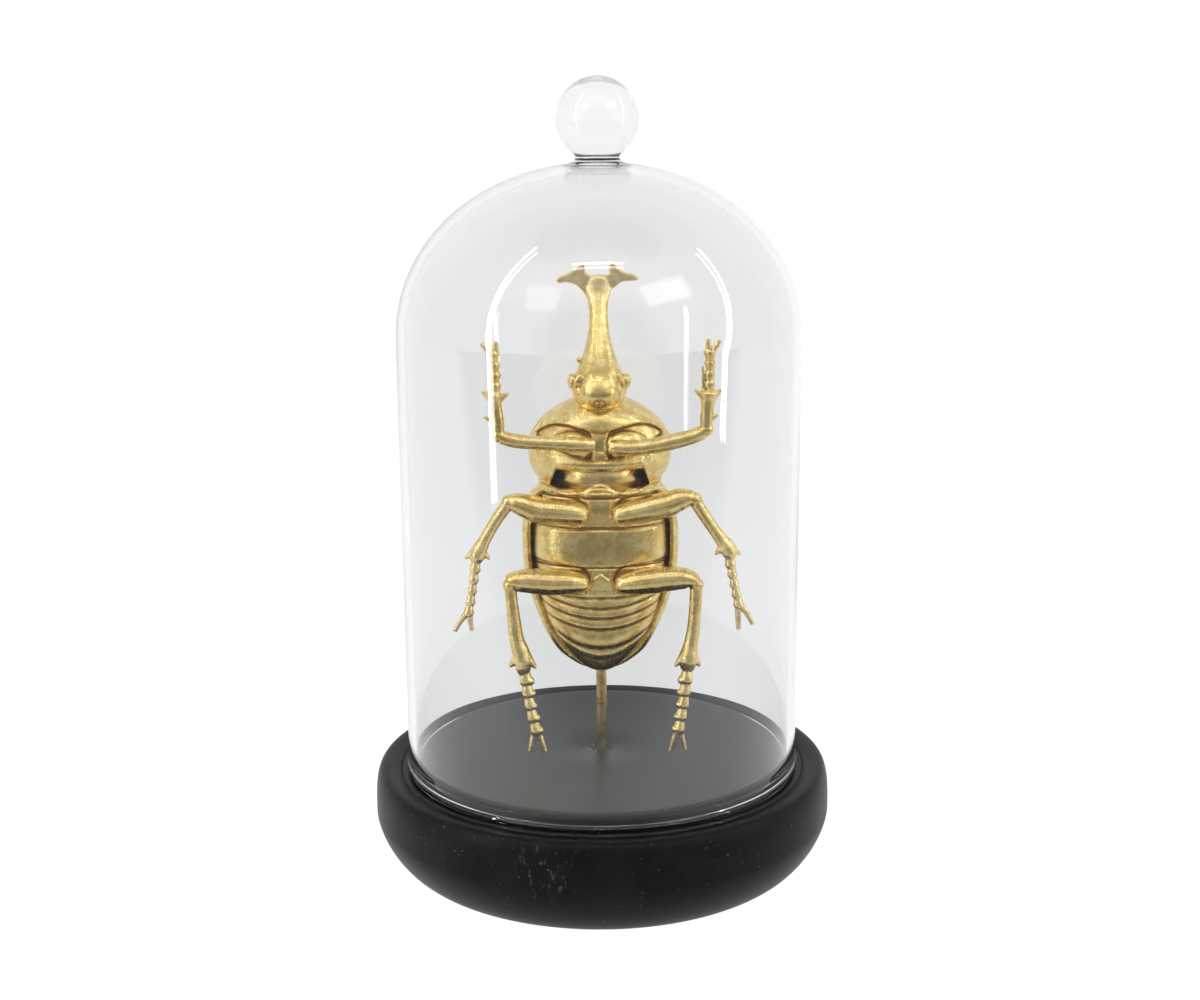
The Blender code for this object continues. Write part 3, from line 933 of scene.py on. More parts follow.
@dataclass
class HindBody:
    """The middle and hind thorax and the ridged abdomen."""

    stations: Sequence[tuple[float, ...]] = (
        (132.6, 0, 0, 0),
        (132.2, 12.0, 9.6, 7.0),
        (129.8, 13.4, 11.2, 7.5),
        (126.6, 13.7, 11.4, 8.0),
        (125.7, 15.0, 11.6, 8.2),
        (124.9, 19.0, 12.2, 8.6),
        (123.6, 20.6, 12.9, 9.2),
        (122.2, 20.6, 12.3, 9.4),
        (118.0, 21.6, 11.9, 9.6),
        (112.6, 22.5, 12.6, 9.8),
        (104.0, 22.9, 13.0, 10.0),
        (96.5, 22.5, 12.8, 9.9),
        (90.0, 21.4, 12.4, 9.5),
        (84.0, 19.8, 12.3, 9.4),
        (78.0, 17.4, 11.6, 8.9),
        (72.0, 13.9, 10.4, 8.1),
        (67.0, 9.2, 8.4, 7.2),
        (63.8, 4.9, 5.6, 6.2),
        (62.5, 0, 0, 0),
    )
    bands: Sequence[tuple[float, float]] = (
        (91.6, 0.004),
        (89.6, 0.006),
        (86.2, 0.0115),
        (82.8, 0.012),
        (79.0, 0.013),
        (72.2, 0.023),
        (68.4, 0.036),
        (61.0, 0.040),
    )
    plate: tuple[float, float] = (99.5, 112.4)
    seats: Sequence[tuple[tuple[float, float], tuple[float, float], float]] = (
        ((-8.0, 117.6), (-22.0, 121.4), 4.1),
        ((8.2, 117.8), (22.0, 122.4), 4.1),
        ((-7.4, 95.5), (-24.0, 97.2), 4.3),
        ((8.2, 95.5), (25.0, 97.2), 4.3),
    )
    seat_depth: float = 1.5
    shield_place: Place = (0.0, 9.6, 122.6)
    shield_size: Place = (3.4, 3.2, 3.6)
    set_back: float = 3.2
    skin_mm: float = 0.33

    def relief(self, x: np.ndarray, z: np.ndarray) -> np.ndarray:
        """The belly's plates, seams and leg seats.

        Args:
            x: Points across.
            z: Their heights.

        Returns:
            How far each point stands forward, in mm.
        """
        rise = np.zeros_like(x)
        for (upper, bend), (lower, next_bend) in zip(self.bands, self.bands[1:]):
            top, bottom = upper + bend * x**2, lower + next_bend * x**2
            share = np.clip((top - z) / (top - bottom), 0, 1)
            inside = (z <= top) & (z > bottom)
            rising = np.sin(math.pi / 2 * np.minimum(share / 0.84, 1.0)) ** 0.8
            swell = rising * np.cos(math.pi / 2 * np.clip((share - 0.84) / 0.16, 0, 1)) ** 0.7
            rise += np.where(inside, swell * (0.55 + 0.11 * (upper - lower)), 0.0)
        low, high = self.plate
        wide = np.abs(x)
        sunk = sum(self.seat_depth * socket(x, z, *seat) for seat in self.seats)
        edge_x = step(22.2, 21.2, wide)
        metasternum = step(low, low + 0.7, z) * step(high, high - 0.7, z) * edge_x
        groove = 0.5 * hump(low - 0.1, 0.6, z) + 0.5 * hump(high + 0.2, 0.6, z)
        waist = 0.10 * (z - 117.5) ** 2
        between = step(5.2 + waist, 4.0 + waist, wide)
        block = between * step(112.6, 113.4, z) * step(122.3, 121.5, z)
        peak = 97.4 - 0.75 * wide
        coxal = step(90.6, 91.4, z) * step(99.4, 98.6, z)
        wedge = 0.55 * step(peak + 0.9, peak - 0.3, z) * coxal * step(8, 5, wide)
        brow = 124.9 + 1.1 * np.cos(np.clip(x / 8.5, -1, 1) * math.pi) * step(9, 7, wide)
        lip = 0.75 * hump(123.4, 1.7, z) * step(21, 18, wide)
        lip += 0.45 * hump(brow, 0.7, z) * step(13, 10, wide)
        under_lip = 0.7 * hump(122.0, 0.7, z)
        neck = 0.35 * step(126.4, 127.6, z) * (1 - np.cos(np.clip(x / 12.5, -1, 1) * math.pi)) / 2
        rise += 0.75 * metasternum - groove + 0.55 * block + wedge + lip - under_lip + neck - sunk
        side_seam = 0.55 * hump(21.9, 0.45, wide) * step(92, 96, z) * step(121, 118, z)
        return rise - side_seam

    def build(self) -> None:
        """Models and dresses the piece."""
        loft = Loft(self.stations, rings=330, sides=280, set_back=self.set_back)
        body = loft.build("belly", self.relief)
        shield = ball("shield", self.shield_place, self.shield_size)
        piece = fuse("hind_body_cast", [body, shield], self.skin_mm, 2)
        mark_creases(piece)
        finish_piece(piece, "belly_and_abdomen", Finish.GOLD, "hind_body")


@dataclass
class Prothorax:
    """The round front body section with the fore hips' seats in front and the forked thorn behind."""

    stations: Sequence[tuple[float, ...]] = (
        (153.4, 0, 0, 0),
        (152.8, 6.0, 5.6, 6.4),
        (150.8, 11.4, 8.8, 9.8),
        (147.6, 16.6, 11.0, 12.4),
        (144.4, 20.0, 12.4, 13.8),
        (141.0, 22.2, 13.2, 14.5),
        (136.5, 23.0, 13.2, 14.6),
        (132.0, 22.9, 13.0, 14.0),
        (129.0, 21.8, 12.0, 13.0),
        (126.4, 20.2, 9.8, 11.8),
        (124.6, 18.0, 7.4, 10.4),
        (124.1, 0, 0, 0),
    )
    thorn: Sequence[tuple[float, ...]] = (
        (0, 9.5, 137.0, 5.0),
        (0, 13.6, 143.4, 3.4),
        (0, 16.0, 149.0, 2.0),
        (0, 16.8, 152.4, 1.6),
    )
    prong: Sequence[tuple[float, ...]] = (
        (0, 16.7, 151.6, 1.5),
        (1.9, 17.2, 153.6, 1.1),
        (3.6, 17.6, 154.6, 0.5),
    )
    set_back: float = 3.5
    skin_mm: float = 0.27

    def relief(self, x: np.ndarray, z: np.ndarray) -> np.ndarray:
        """The front band, the hip seats with the waisted keel between them and the lower crescent.

        Args:
            x: Points across.
            z: Their heights.

        Returns:
            How far each point stands forward, in mm.
        """
        wide = np.abs(x)
        arch = 143.3 + 2.0 * np.sin(math.pi * np.minimum(wide, 12.5) / 25) ** 2
        arch -= 0.055 * np.maximum(wide - 12.5, 0) ** 2
        crescent = 134.2 + 0.0165 * x**2
        fade = step(22.0, 19.0, wide)
        seat = step(arch + 0.5, arch - 0.8, z) * step(crescent - 0.3, crescent + 0.5, z) * fade
        waist = 1.7 + 0.062 * (z - 138.6) ** 2
        keel = step(waist + 0.7, waist - 0.2, wide)
        coxa = np.clip(1 - ((wide - 8.4) / 7.0) ** 2 - ((z - 138.6) / 4.6) ** 2, 0, 1) ** 0.5
        boss = np.clip(1 - (x / 2.7) ** 2 - ((z - 135.5) / 1.5) ** 2, 0, 1) ** 0.5
        rise = -3.1 * seat * (1 - 0.66 * keel) + 2.5 * coxa * seat * (1 - keel) + 0.5 * boss
        rise -= 0.35 * hump(arch - 0.2, 0.7, z) * fade + 0.4 * hump(crescent + 0.1, 0.6, z) * fade
        lip = 130.7 + 0.003 * x**2 - 2.9 * np.maximum(wide - 13.7, 0)
        rise += 0.55 * hump(lip + 2.0, 2.4, z) * step(16.5, 14.0, wide)
        under = step(lip, lip - 0.6, z) * step(19.0, 18.0, wide)
        rise -= 9.0 * under
        rise += 0.35 * hump(147.6, 3.5, z) * step(16, 10, wide)
        return rise

    def build(self) -> None:
        """Models and dresses the piece."""
        loft = Loft(self.stations, rings=260, sides=300, squareness=1.0, set_back=self.set_back)
        shapes = [loft.build("shoulders", self.relief), tube("thorn", self.thorn)]
        for side in (1, -1):
            shapes.append(tube(f"prong_{side}", [(side * x, *rest) for x, *rest in self.prong]))
        piece = fuse("prothorax_cast", shapes, self.skin_mm, 2)
        mark_creases(piece)
        finish_piece(piece, "front_thorax", Finish.GOLD, "prothorax")


@dataclass
class Head:
    """The head with its eyes and chin, and the long horn that ends in a four-pointed fork."""

    stations: Sequence[tuple[float, ...]] = (
        (191.4, 0, 0, 0, 6.4),
        (190.6, 3.2, 1.5, 1.5, 6.2),
        (187.6, 4.3, 1.8, 1.8, 5.9),
        (184.4, 3.5, 2.1, 2.2, 5.2),
        (180.6, 2.95, 2.4, 2.5, 3.9),
        (177.0, 3.0, 2.6, 2.8, 2.5),
        (172.6, 3.5, 3.0, 3.2, 0.4),
        (168.2, 4.6, 3.7, 3.9, -1.8),
        (164.8, 5.7, 4.6, 4.6, -3.6),
        (161.6, 7.2, 5.9, 5.4, -5.0),
        (158.0, 8.4, 7.1, 6.2, -5.5),
        (154.8, 8.6, 7.5, 6.4, -5.5),
        (152.0, 7.3, 6.4, 5.6, -5.5),
        (150.2, 4.9, 4.4, 4.2, -5.5),
        (149.3, 0, 0, 0, -5.5),
    )
    fork: Sequence[tuple[float, float]] = (
        (-13.6, 189.8), (-12.2, 191.0), (-10.5, 191.5), (-8.8, 192.3), (-7.3, 193.3), (-6.3, 194.4),
        (-5.2, 194.9), (-4.1, 195.3), (-4.2, 192.1), (-3.4, 191.5), (-2.0, 190.9), (-0.5, 190.7),
        (0.9, 190.7), (2.4, 191.2), (3.5, 191.9), (3.3, 195.2), (5.1, 195.1), (5.8, 194.4),
        (6.3, 193.6), (7.3, 192.7), (8.5, 192.0), (10.2, 191.7), (11.9, 191.0), (12.6, 190.4),
        (12.7, 189.5), (10.2, 189.2), (8.0, 189.1), (6.8, 188.6), (5.5, 187.4), (3.8, 186.5),
        (3.1, 185.0), (2.7, 182.6), (-3.1, 179.9), (-3.4, 182.6), (-3.9, 184.3), (-5.0, 186.0),
        (-6.9, 187.9), (-8.3, 188.6), (-10.5, 189.0), (-12.7, 188.7),
    )
    fork_y: float = 6.2
    fork_half: float = 1.25
    fork_edge: float = 0.6
    fork_inset: float = 0.55
    eye: Place = (8.1, -6.0, 158.4)
    eye_size: Place = (1.9, 2.2, 2.7)
    eye_lean: float = 14.0
    cheek: Sequence[tuple[float, ...]] = (
        (6.6, -8.8, 155.0, 0.6),
        (7.2, -9.2, 158.4, 0.9),
        (6.2, -8.8, 161.4, 0.5),
    )
    skin_mm: float = 0.22

    def relief(self, x: np.ndarray, z: np.ndarray) -> np.ndarray:
        """The chin's boss, the mouth and the groove along the horn.

        Args:
            x: Points across.
            z: Their heights.

        Returns:
            How far each point stands forward, in mm.
        """
        chin = np.clip(1 - (x / 6.0) ** 2 - ((z - 156.4) / 6.8) ** 2, 0, 1) ** 0.6
        mouth = np.hypot(x / 1.5, (z - 152.4) / 1.1)
        rise = 1.5 * chin - 0.35 * hump(1.0, 0.35, mouth) + 0.2 * step(0.7, 0.2, mouth)
        groove = hump(0.0, 0.7, x) * step(165.5, 169.0, z) * step(189.0, 185.0, z)
        cheek = hump(6.0, 0.9, np.abs(x)) * step(153, 156, z) * step(163.5, 161.0, z)
        return rise - 0.2 * groove - 0.3 * cheek

    def fork_blade(self) -> bpy.types.Object:
        """The flat fork, from its outline.

        Returns:
            The blade as a closed mesh.
        """
        deselect()
        bpy.ops.curve.primitive_bezier_curve_add()
        obj = bpy.context.object
        curve = obj.data
        curve.dimensions = "2D"
        curve.fill_mode = "BOTH"
        curve.extrude = (self.fork_half - self.fork_edge) * MM
        curve.bevel_depth = self.fork_edge * MM
        curve.bevel_resolution = 4
        curve.offset = -self.fork_inset * MM
        spline = curve.splines[0]
        spline.use_cyclic_u = True
        spline.bezier_points.add(len(self.fork) - len(spline.bezier_points))
        for point, (x, z) in zip(spline.bezier_points, self.fork):
            point.co = (x * MM, z * MM, 0)
            point.handle_left_type = point.handle_right_type = "VECTOR"
        bpy.ops.object.convert(target="MESH")
        obj = bpy.context.object
        upright = Matrix.Rotation(math.pi / 2, 4, "X")
        obj.data.transform(Matrix.Translation((0, self.fork_y * MM, 0)) @ upright)
        close_up(obj, 0.01)
        return obj

    def build(self) -> None:
        """Models and dresses the piece."""
        shapes = [Loft(self.stations, rings=300, sides=200, squareness=0.96).build("skull", self.relief)]
        shapes.append(self.fork_blade())
        x, y, z = self.eye
        for side in (-1, 1):
            shapes.append(ball(f"eye_{side}", (side * x, y, z), self.eye_size, side * self.eye_lean))
            shapes.append(tube(f"cheek_{side}", [(side * across, *rest) for across, *rest in self.cheek]))
        shapes.append(ball("left_club", (-6.0, -10.6, 159.6), (1.6, 0.8, 2.0), 20))
        shapes.append(ball("horn_tooth", (-6.3, -4.0, 165.0), (0.8, 0.7, 0.9)))
        piece = fuse("head_cast", shapes, self.skin_mm, 3)
        mark_creases(piece)
        finish_piece(piece, "head_and_horn", Finish.GOLD, "head_horn")


@dataclass
class WingCases:
    """The two wing cases that wrap the back and show as a rim beside the belly."""

    stations: Sequence[tuple[float, ...]] = (
        (125.3, 0, 0, 0),
        (124.9, 14.0, 8.0, 10.4),
        (123.6, 20.4, 9.0, 12.0),
        (120.0, 23.6, 9.6, 13.0),
        (113.0, 25.1, 10.0, 13.8),
        (105.5, 25.4, 10.0, 14.0),
        (97.5, 24.9, 10.0, 13.8),
        (90.0, 23.4, 9.6, 13.2),
        (82.0, 20.8, 9.0, 12.0),
        (75.0, 17.8, 8.0, 10.6),
        (69.6, 14.4, 6.8, 9.0),
        (66.0, 10.2, 5.6, 7.6),
        (64.0, 6.2, 5.0, 6.4),
        (63.2, 0, 0, 0),
    )
    thickness: float = 1.5
    front_y: float = -4.0
    suture: float = 0.12
    skin_mm: float = 0.30

    def half(self, side: int) -> bpy.types.Object:
        """Models one wing case.

        Args:
            side: -1 for the left one, 1 for the right one.

        Returns:
            The closed shell.
        """
        shell = Loft(self.stations, rings=230, sides=300, squareness=0.96).build("wing_case")
        places = positions(shell)
        x, y, z = places.T
        back = step(2.0, 9.0, y)
        near = np.abs(x)
        ribs = 0.22 * hump(6.5, 1.6, near) + 0.16 * hump(12.0, 1.6, near) + 0.14 * hump(17.0, 1.4, near)
        inner_groove = 0.55 * hump(0.0, 0.9, near) * step(64, 68, z)
        shoulder = 0.7 * hump(17.5, 4.5, near) * hump(119.0, 5.5, z)
        places[:, 1] += back * (ribs * step(66, 74, z) * step(123, 116, z) - inner_groove + shoulder)
        set_positions(shell, places)
        gap = side * self.suture * MM
        edit(
            shell,
            lambda: bpy.ops.mesh.bisect(
                plane_co=(gap, 0, 0), plane_no=(-side, 0, 0), clear_outer=True, use_fill=False
            ),
        )
        edit(
            shell,
            lambda: bpy.ops.mesh.bisect(
                plane_co=(0, self.front_y * MM, 0), plane_no=(0, -1, 0.0), clear_outer=True, use_fill=False
            ),
        )
        modify(shell, "SOLIDIFY", thickness=self.thickness * MM, offset=-1.0, use_even_offset=True)
        return shell

    def build(self) -> None:
        """Models and dresses both wing cases."""
        for side, node in ((-1, "elytron_left"), (1, "elytron_right")):
            shell = self.half(side)
            piece = fuse(f"{node}_cast", [shell], self.skin_mm, 3)
            mark_creases(piece)
            finish_piece(piece, f"wing_case_{node.split('_')[1]}", Finish.GOLD, node)


@dataclass(frozen=True)
class Spike:
    """A claw, spur or thorn: where it starts and ends, and its radius at either end."""

    root: Place
    tip: Place
    radii: tuple[float, float]
    bow: float = 0.0

    def build(self, name: str) -> bpy.types.Object:
        """Models the spike.

        Args:
            name: The object's name.

        Returns:
            The spike as a closed mesh.
        """
        start, end = Vector(self.root), Vector(self.tip)
        run = end - start
        middle = start.lerp(end, 0.5) + Vector((-run.z, 0, run.x)) * self.bow
        path = [(*start, self.radii[0]), (*middle, sum(self.radii) / 2), (*end, self.radii[1])]
        return tube(name, path, 4, 5)


@dataclass
class Leg:
    """One leg: a thigh, a shin that flares at its far end with spurs on it, a beaded foot and two claws."""

    name: str
    thigh: Sequence[tuple[float, ...]]
    shin: Sequence[tuple[float, ...]]
    foot: Sequence[tuple[float, ...]]
    spurs: Sequence[Spike]
    claws: Sequence[Spike]
    beads: int = 5
    waist: float = 0.80
    knob: float = 0.9
    skin_mm: float = 0.20

    def beaded(self) -> list[tuple[float, ...]]:
        """The foot's curve with its beads, each flaring towards its far end.

        Returns:
            Points of x, y, z and radius.
        """
        rows = np.array(self.foot, float)
        along = np.concatenate([[0], np.cumsum(np.linalg.norm(np.diff(rows[:, :3], axis=0), axis=1))])
        points = []
        for number in range(self.beads):
            for share, size in ((0.0, self.waist), (0.42, 0.98), (0.72, 1.06), (0.92, 0.96)):
                here = (number + share) / self.beads * along[-1]
                x, y, z, radius = (float(np.interp(here, along, rows[:, k])) for k in range(4))
                points.append((x, y, z, radius * size))
        points.append((*self.foot[-1][:3], self.foot[-1][3] * 0.9))
        return points

    def build(self) -> None:
        """Models and dresses the leg."""
        shapes = [tube(f"{self.name}_thigh", self.thigh, 7, 8), tube(f"{self.name}_shin", self.shin, 7, 8)]
        x, y, z, radius = self.shin[0]
        shapes.append(ball(f"{self.name}_knee", (x, y, z), (radius + 0.35, radius + 0.3, radius + 0.35)))
        points = self.beaded()
        shapes.append(tube(f"{self.name}_foot", points, 6, 4))
        inward = -1 if self.foot[-1][0] > 0 else 1
        for number in range(self.beads):
            x, y, z, radius = points[4 * number + 2]
            size = self.knob * radius * 0.55
            shapes.append(ball(f"{self.name}_knob", (x + inward * radius * 0.62, y, z), (size, size, size)))
        for number, spike in enumerate((*self.spurs, *self.claws)):
            shapes.append(spike.build(f"{self.name}_spike_{number}"))
        piece = fuse(f"{self.name}_cast", shapes, self.skin_mm, 3)
        mark_creases(piece, 6, 0.09)
        finish_piece(piece, f"{self.name}_cast", Finish.GOLD, self.name)


LEGS = (
    Leg(
        "foreleg_left",
        thigh=(
            (-1.6, -14.6, 139.9, 2.0), (-4.5, -15.2, 140.0, 2.4),
            (-7.7, -15.6, 140.1, 2.5), (-14.2, -16.0, 140.6, 2.3),
            (-20.7, -16.4, 141.0, 2.2), (-26.3, -16.8, 141.7, 2.3),
            (-30.0, -17.2, 142.8, 2.2), (-31.3, -17.4, 143.4, 1.9),
        ),
        shin=(
            (-31.3, -17.4, 143.6, 1.9), (-31.2, -17.8, 148.2, 1.8), (-31.7, -18.0, 152.0, 1.8),
            (-32.1, -18.2, 154.6, 2.2), (-32.2, -18.4, 156.4, 2.45), (-32.1, -18.4, 157.4, 1.7),
        ),
        foot=((-31.9, -18.4, 157.0, 1.7), (-31.8, -19.0, 163.8, 1.6), (-32.5, -19.6, 169.9, 1.9)),
        spurs=(
            Spike((-32.8, -18.2, 154.9), (-36.0, -18.6, 157.5), (1.7, 0.4)),
            Spike((-31.4, -18.2, 154.9), (-27.8, -18.6, 156.8), (1.7, 0.4)),
            Spike((-31.8, -17.8, 147.6), (-35.6, -18.2, 149.6), (1.5, 0.35)),
        ),
        claws=(
            Spike((-33.3, -19.6, 169.6), (-35.7, -20.2, 172.4), (1.15, 0.75)),
            Spike((-31.5, -19.6, 169.6), (-31.3, -20.2, 173.0), (1.2, 0.85)),
        ),
        beads=4,
    ),
    Leg(
        "foreleg_right",
        thigh=(
            (3.3, -14.6, 139.4, 2.0), (5.4, -15.2, 139.1, 2.4),
            (8.5, -15.6, 138.8, 2.5), (15.1, -16.0, 139.4, 2.4),
            (21.9, -16.4, 140.8, 2.6), (28.0, -16.8, 142.4, 2.4),
            (31.2, -17.2, 143.7, 2.3), (32.9, -17.4, 144.8, 1.9),
        ),
        shin=(
            (33.0, -17.4, 145.0, 1.9), (33.0, -17.8, 148.7, 2.0), (33.2, -18.0, 151.5, 2.0),
            (33.5, -18.2, 154.6, 2.3), (33.7, -18.4, 156.5, 2.6), (33.8, -18.4, 157.5, 1.7),
        ),
        foot=((33.8, -18.4, 157.2, 1.6), (33.9, -19.0, 164.1, 1.45), (33.8, -19.6, 169.9, 1.75)),
        spurs=(
            Spike((32.8, -18.2, 154.9), (29.3, -18.6, 157.4), (1.7, 0.4)),
            Spike((34.4, -18.2, 154.9), (37.6, -18.6, 157.6), (1.7, 0.4)),
            Spike((33.6, -17.8, 148.0), (36.7, -18.2, 149.8), (1.5, 0.35)),
            Spike((32.2, -18.6, 157.0), (31.6, -19.4, 165.0), (0.8, 0.35)),
        ),
        claws=(
            Spike((33.3, -19.6, 169.6), (33.1, -20.2, 173.3), (1.15, 0.8)),
            Spike((34.8, -19.6, 169.6), (36.7, -20.2, 172.9), (1.1, 0.8)),
        ),
        beads=4,
    ),
    Leg(
        "midleg_left",
        thigh=(
            (-4.4, -14.4, 117.3, 2.5), (-6.1, -15.0, 117.7, 3.5),
            (-8.7, -15.4, 118.3, 4.0), (-14.8, -15.8, 118.9, 4.2),
            (-20.4, -16.2, 119.7, 4.2), (-24.2, -16.6, 121.2, 3.7),
            (-26.9, -16.9, 122.0, 3.1), (-28.7, -17.0, 122.1, 2.2),
        ),
        shin=(
            (-28.4, -17.0, 122.2, 2.1), (-31.7, -17.4, 117.7, 1.95), (-34.1, -17.7, 113.9, 1.9),
            (-36.3, -18.0, 110.1, 2.0), (-37.9, -18.3, 107.0, 2.5),
            (-38.7, -18.5, 104.9, 2.5), (-39.0, -18.6, 103.5, 1.8),
        ),
        foot=((-39.0, -18.6, 103.4, 1.75), (-40.1, -19.2, 95.4, 1.35), (-41.7, -19.8, 86.3, 1.55)),
        spurs=(
            Spike((-38.8, -18.4, 107.2), (-42.4, -18.8, 104.6), (1.7, 0.4)),
            Spike((-37.2, -18.4, 106.7), (-34.5, -18.8, 104.4), (1.6, 0.4)),
        ),
        claws=(
            Spike((-42.2, -19.8, 87.0), (-45.9, -20.4, 81.3), (1.05, 0.7), -0.04),
            Spike((-41.2, -19.8, 86.4), (-40.6, -20.4, 81.5), (1.05, 0.7)),
        ),
    ),
    Leg(
        "midleg_right",
        thigh=(
            (4.7, -14.4, 117.2, 2.5), (6.2, -15.0, 117.5, 3.3),
            (10.6, -15.4, 118.5, 3.8), (15.6, -15.8, 119.6, 4.2),
            (21.6, -16.2, 121.2, 4.1), (25.6, -16.6, 122.7, 3.5),
            (27.9, -16.9, 123.0, 2.8), (29.2, -17.0, 122.7, 2.2),
        ),
        shin=(
            (29.4, -17.0, 122.7, 2.1), (32.6, -17.4, 117.5, 1.95), (35.7, -17.7, 112.9, 1.9),
            (37.9, -18.0, 109.9, 2.15), (39.6, -18.3, 107.4, 2.7),
            (40.3, -18.5, 105.4, 2.5), (40.3, -18.6, 104.2, 1.8),
        ),
        foot=((40.3, -18.6, 104.2, 1.75), (41.7, -19.2, 96.8, 1.4), (43.5, -19.8, 88.3, 1.55)),
        spurs=(
            Spike((40.6, -18.4, 107.9), (43.8, -18.8, 105.3), (1.7, 0.4)),
            Spike((38.4, -18.4, 107.6), (35.7, -18.8, 105.3), (1.6, 0.4)),
        ),
        claws=(
            Spike((43.9, -19.8, 89.0), (47.6, -20.4, 83.0), (1.05, 0.7), 0.04),
            Spike((43.0, -19.8, 88.2), (43.2, -20.4, 81.3), (1.1, 0.8)),
        ),
    ),
    Leg(
        "hindleg_left",
        thigh=(
            (-4.5, -14.4, 95.2, 2.4), (-6.3, -15.0, 95.4, 3.2),
            (-8.9, -15.4, 95.7, 3.8), (-16.1, -15.8, 95.9, 4.2),
            (-20.8, -16.2, 96.4, 4.1), (-25.2, -16.6, 96.7, 3.7),
            (-27.8, -16.9, 96.6, 2.9), (-28.7, -17.0, 96.0, 2.3),
        ),
        shin=(
            (-28.6, -17.0, 95.4, 2.0), (-28.1, -17.2, 90.3, 1.9),
            (-27.5, -17.4, 83.8, 2.15), (-26.6, -17.7, 77.2, 2.4),
            (-25.6, -17.8, 73.9, 2.8), (-25.0, -17.9, 70.9, 3.05),
            (-24.8, -18.0, 68.6, 2.6), (-24.5, -18.1, 66.6, 1.9),
        ),
        foot=((-24.4, -18.1, 67.0, 2.15), (-22.8, -18.8, 56.2, 1.65), (-20.8, -19.4, 46.6, 1.85)),
        spurs=(
            Spike((-26.4, -17.9, 72.2), (-29.1, -18.2, 68.8), (1.9, 0.5)),
            Spike((-23.8, -17.9, 72.0), (-20.7, -18.2, 68.3), (1.9, 0.5)),
        ),
        claws=(
            Spike((-21.5, -19.4, 47.0), (-22.9, -19.8, 41.0), (1.25, 0.85)),
            Spike((-20.2, -19.4, 47.0), (-18.1, -19.8, 40.6), (1.1, 0.75)),
        ),
        knob=1.2,
    ),
    Leg(
        "hindleg_right",
        thigh=(
            (5.4, -14.4, 94.5, 2.5), (7.4, -15.0, 94.9, 3.3),
            (11.5, -15.4, 95.6, 4.0), (17.6, -15.8, 96.4, 4.2),
            (23.2, -16.2, 97.0, 3.9), (26.8, -16.6, 97.0, 3.4),
            (28.9, -16.9, 96.4, 2.7), (29.8, -17.0, 95.4, 2.2),
        ),
        shin=(
            (30.1, -17.0, 95.2, 2.0), (30.0, -17.2, 91.0, 2.0),
            (29.7, -17.4, 85.8, 2.0), (29.2, -17.6, 80.4, 2.1),
            (28.4, -17.7, 75.6, 2.3), (27.9, -17.8, 72.6, 2.85),
            (27.6, -17.9, 70.2, 3.05), (27.3, -18.0, 67.4, 2.1),
        ),
        foot=((27.3, -18.1, 67.0, 2.15), (26.1, -18.8, 56.5, 1.7), (24.6, -19.4, 46.8, 1.8)),
        spurs=(
            Spike((26.6, -17.9, 72.2), (23.4, -18.2, 68.6), (1.9, 0.5)),
            Spike((29.0, -17.9, 72.0), (31.4, -18.2, 68.6), (1.9, 0.5)),
        ),
        claws=(
            Spike((23.9, -19.4, 47.0), (21.9, -19.8, 40.4), (1.15, 0.75)),
            Spike((25.3, -19.4, 47.0), (26.6, -19.8, 40.8), (1.05, 0.7)),
        ),
        knob=1.2,
    ),
)


# ---------------------------------------------------------------- studio


@dataclass
class Panel:
    """One long or square light, from one end's middle to the other's, turned to face the dome, in metres."""

    name: str
    start: Place
    end: Place
    width: float
    radiance: float
    target: Place = (0.0, 0.0, 0.12)

    def build(self) -> None:
        """Adds the light."""
        start, end = Vector(self.start), Vector(self.end)
        along = end - start
        data = bpy.data.lights.new(self.name, "AREA")
        data.shape = "RECTANGLE"
        data.size, data.size_y = self.width, along.length
        data.energy = self.radiance * math.pi * self.width * along.length
        lamp = bpy.data.objects.new(self.name, data)
        bpy.context.scene.collection.objects.link(lamp)
        middle = start.lerp(end, 0.5)
        along.normalize()
        away = middle - Vector(self.target)
        away = (away - along * away.dot(along)).normalized()
        turn = Matrix((along.cross(away), along, away)).transposed()
        lamp.matrix_world = Matrix.Translation(middle) @ turn.to_4x4()


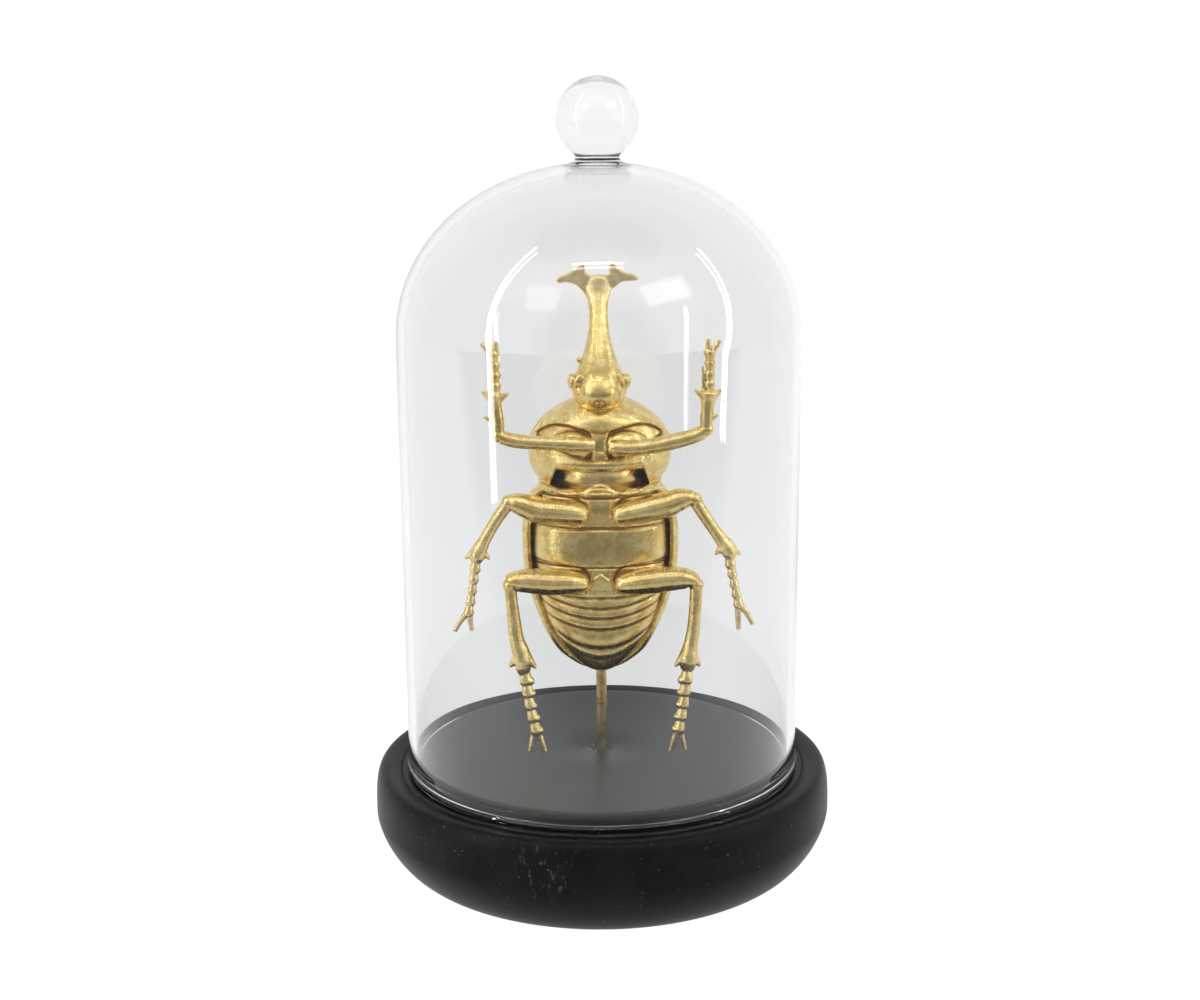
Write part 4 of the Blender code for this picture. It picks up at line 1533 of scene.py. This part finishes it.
@dataclass
class Studio:
    """The pale sweep, the lights, the surroundings and the camera, in metres.

    The room's stops are a share of the way from straight in front of the dome to straight behind it, and how
    bright the room is there.
    """

    distance: float = 0.5465
    look_z: float = 0.11885
    pitch_deg: float = 12.2
    roll_deg: float = -0.44
    lens_mm: float = 50.69
    sweep_radius: float = 0.35
    wall_y: float = 1.1
    half_width: float = 2.4
    glow: float = 0.97
    room: Sequence[tuple[float, float]] = (
        (0.0, 0.28),
        (0.75, 0.5),
        (0.06, 0.30),
        (0.125, 0.74),
        (0.25, 0.74),
        (0.36, 0.48),
    )
    room_strength: float = 2.0
    panels: Sequence[Panel] = (
        Panel("left_strip", (-0.558, -0.341, 0.0), (-0.59, -0.228, 1.38), 0.022, 30.0),
        Panel("right_strip", (0.615, -0.235, 0.04), (0.626, 0.02, 0.92), 0.020, 22.0),
        Panel("window", (0.50, -0.92, 0.90), (0.90, -0.52, 0.96), 0.31, 2.0),
        Panel("left_window", (-0.70, -0.70, 0.80), (-0.42, -0.90, 0.86), 0.34, 1.3),
        Panel("tube", (-0.20, -0.48, 0.985), (0.20, -0.48, 1.01), 0.028, 20.0),
    )

    def sweep(self) -> None:
        """A floor that curves up into a back wall."""
        deselect()
        bpy.ops.mesh.primitive_plane_add(size=1.0)
        sweep = bpy.context.object
        sweep.name = "studio_sweep"
        width, wall, bend = self.half_width, self.wall_y, self.sweep_radius
        outline = [(-2.2, 0.0), (wall - bend, 0.0)]
        for angle in np.linspace(0.1, math.pi / 2, 16):
            outline.append((wall - bend + bend * math.sin(angle), bend - bend * math.cos(angle)))
        outline.append((wall, 2.4))
        mesh = sweep.data
        mesh.clear_geometry()
        points = [(side * width, y, z) for y, z in outline for side in (-1, 1)]
        faces = [(2 * k, 2 * k + 1, 2 * k + 3, 2 * k + 2) for k in range(len(outline) - 1)]
        mesh.from_pydata(points, [], faces)
        mesh.update()
        bpy.ops.object.shade_smooth()
        graph = Graph("sweep_paper")
        fibre = graph.noise(1.4, 2.0, 0.5)
        graph.set(
            Base_Color=graph.blend(fibre, (0.12, 0.12, 0.12), (0.13, 0.13, 0.13)),
            Roughness=0.9,
            Specular_IOR_Level=0.0,
            Emission_Color=graph.blend(graph.y.between(-330, -125), (0.10, 0.10, 0.10), (1.0, 1.0, 1.0)),
            Emission_Strength=self.glow,
        )
        mesh.materials.append(graph.material)

    def surroundings(self) -> None:
        """The room: pale, brighter in a wide ring about the viewer and darkest right behind them."""
        world = bpy.data.worlds.new("room")
        bpy.context.scene.world = world
        world.use_nodes = True
        tree = world.node_tree
        heading = add_node(tree, "ShaderNodeTexCoord").outputs["Generated"]
        axes = add_node(tree, "ShaderNodeSeparateXYZ", inputs={0: heading}).outputs
        share = add_node(tree, "ShaderNodeMapRange", inputs={"Value": axes["Y"], "From Min": -1.0})
        stops = [(position, (light, light, light)) for position, light in self.room]
        ramp = add_node(tree, "ShaderNodeValToRGB", {"stops": stops}, {0: share.outputs["Result"]})
        background = tree.nodes["Background"]
        background.inputs["Strength"].default_value = self.room_strength
        tree.links.new(ramp.outputs[0], background.inputs["Color"])

    def camera(self) -> None:
        """The camera, at the viewing angle of a seated viewer."""
        data = bpy.data.cameras.new("camera")
        camera = bpy.data.objects.new("camera", data)
        bpy.context.scene.collection.objects.link(camera)
        pitch = math.radians(self.pitch_deg)
        data.lens, data.sensor_width, data.clip_start = self.lens_mm, 36.0, 0.01
        look = Vector((0, 0, self.look_z))
        camera.location = look + self.distance * Vector((0, -math.cos(pitch), math.sin(pitch)))
        roll = Matrix.Rotation(math.radians(self.roll_deg), 3, "Z")
        camera.rotation_euler = (Matrix.Rotation(math.pi / 2 - pitch, 3, "X") @ roll).to_euler()
        bpy.context.scene.camera = camera

    def build(self) -> None:
        """Sets up the whole studio."""
        self.sweep()
        self.surroundings()
        for panel in self.panels:
            panel.build()
        self.camera()
        bpy.context.scene.view_settings.view_transform = "Standard"
        log.info("studio: %d lights", len(self.panels))


def main() -> None:
    """Builds every piece in order."""
    logging.basicConfig(level=logging.INFO, format="%(name)s: %(message)s")
    pieces = (Base(), Rod(), HindBody(), WingCases(), Prothorax(), Head(), *LEGS, Dome())
    for piece in pieces:
        piece.build()
    Studio().build()


if __name__ == "__main__":
    main()
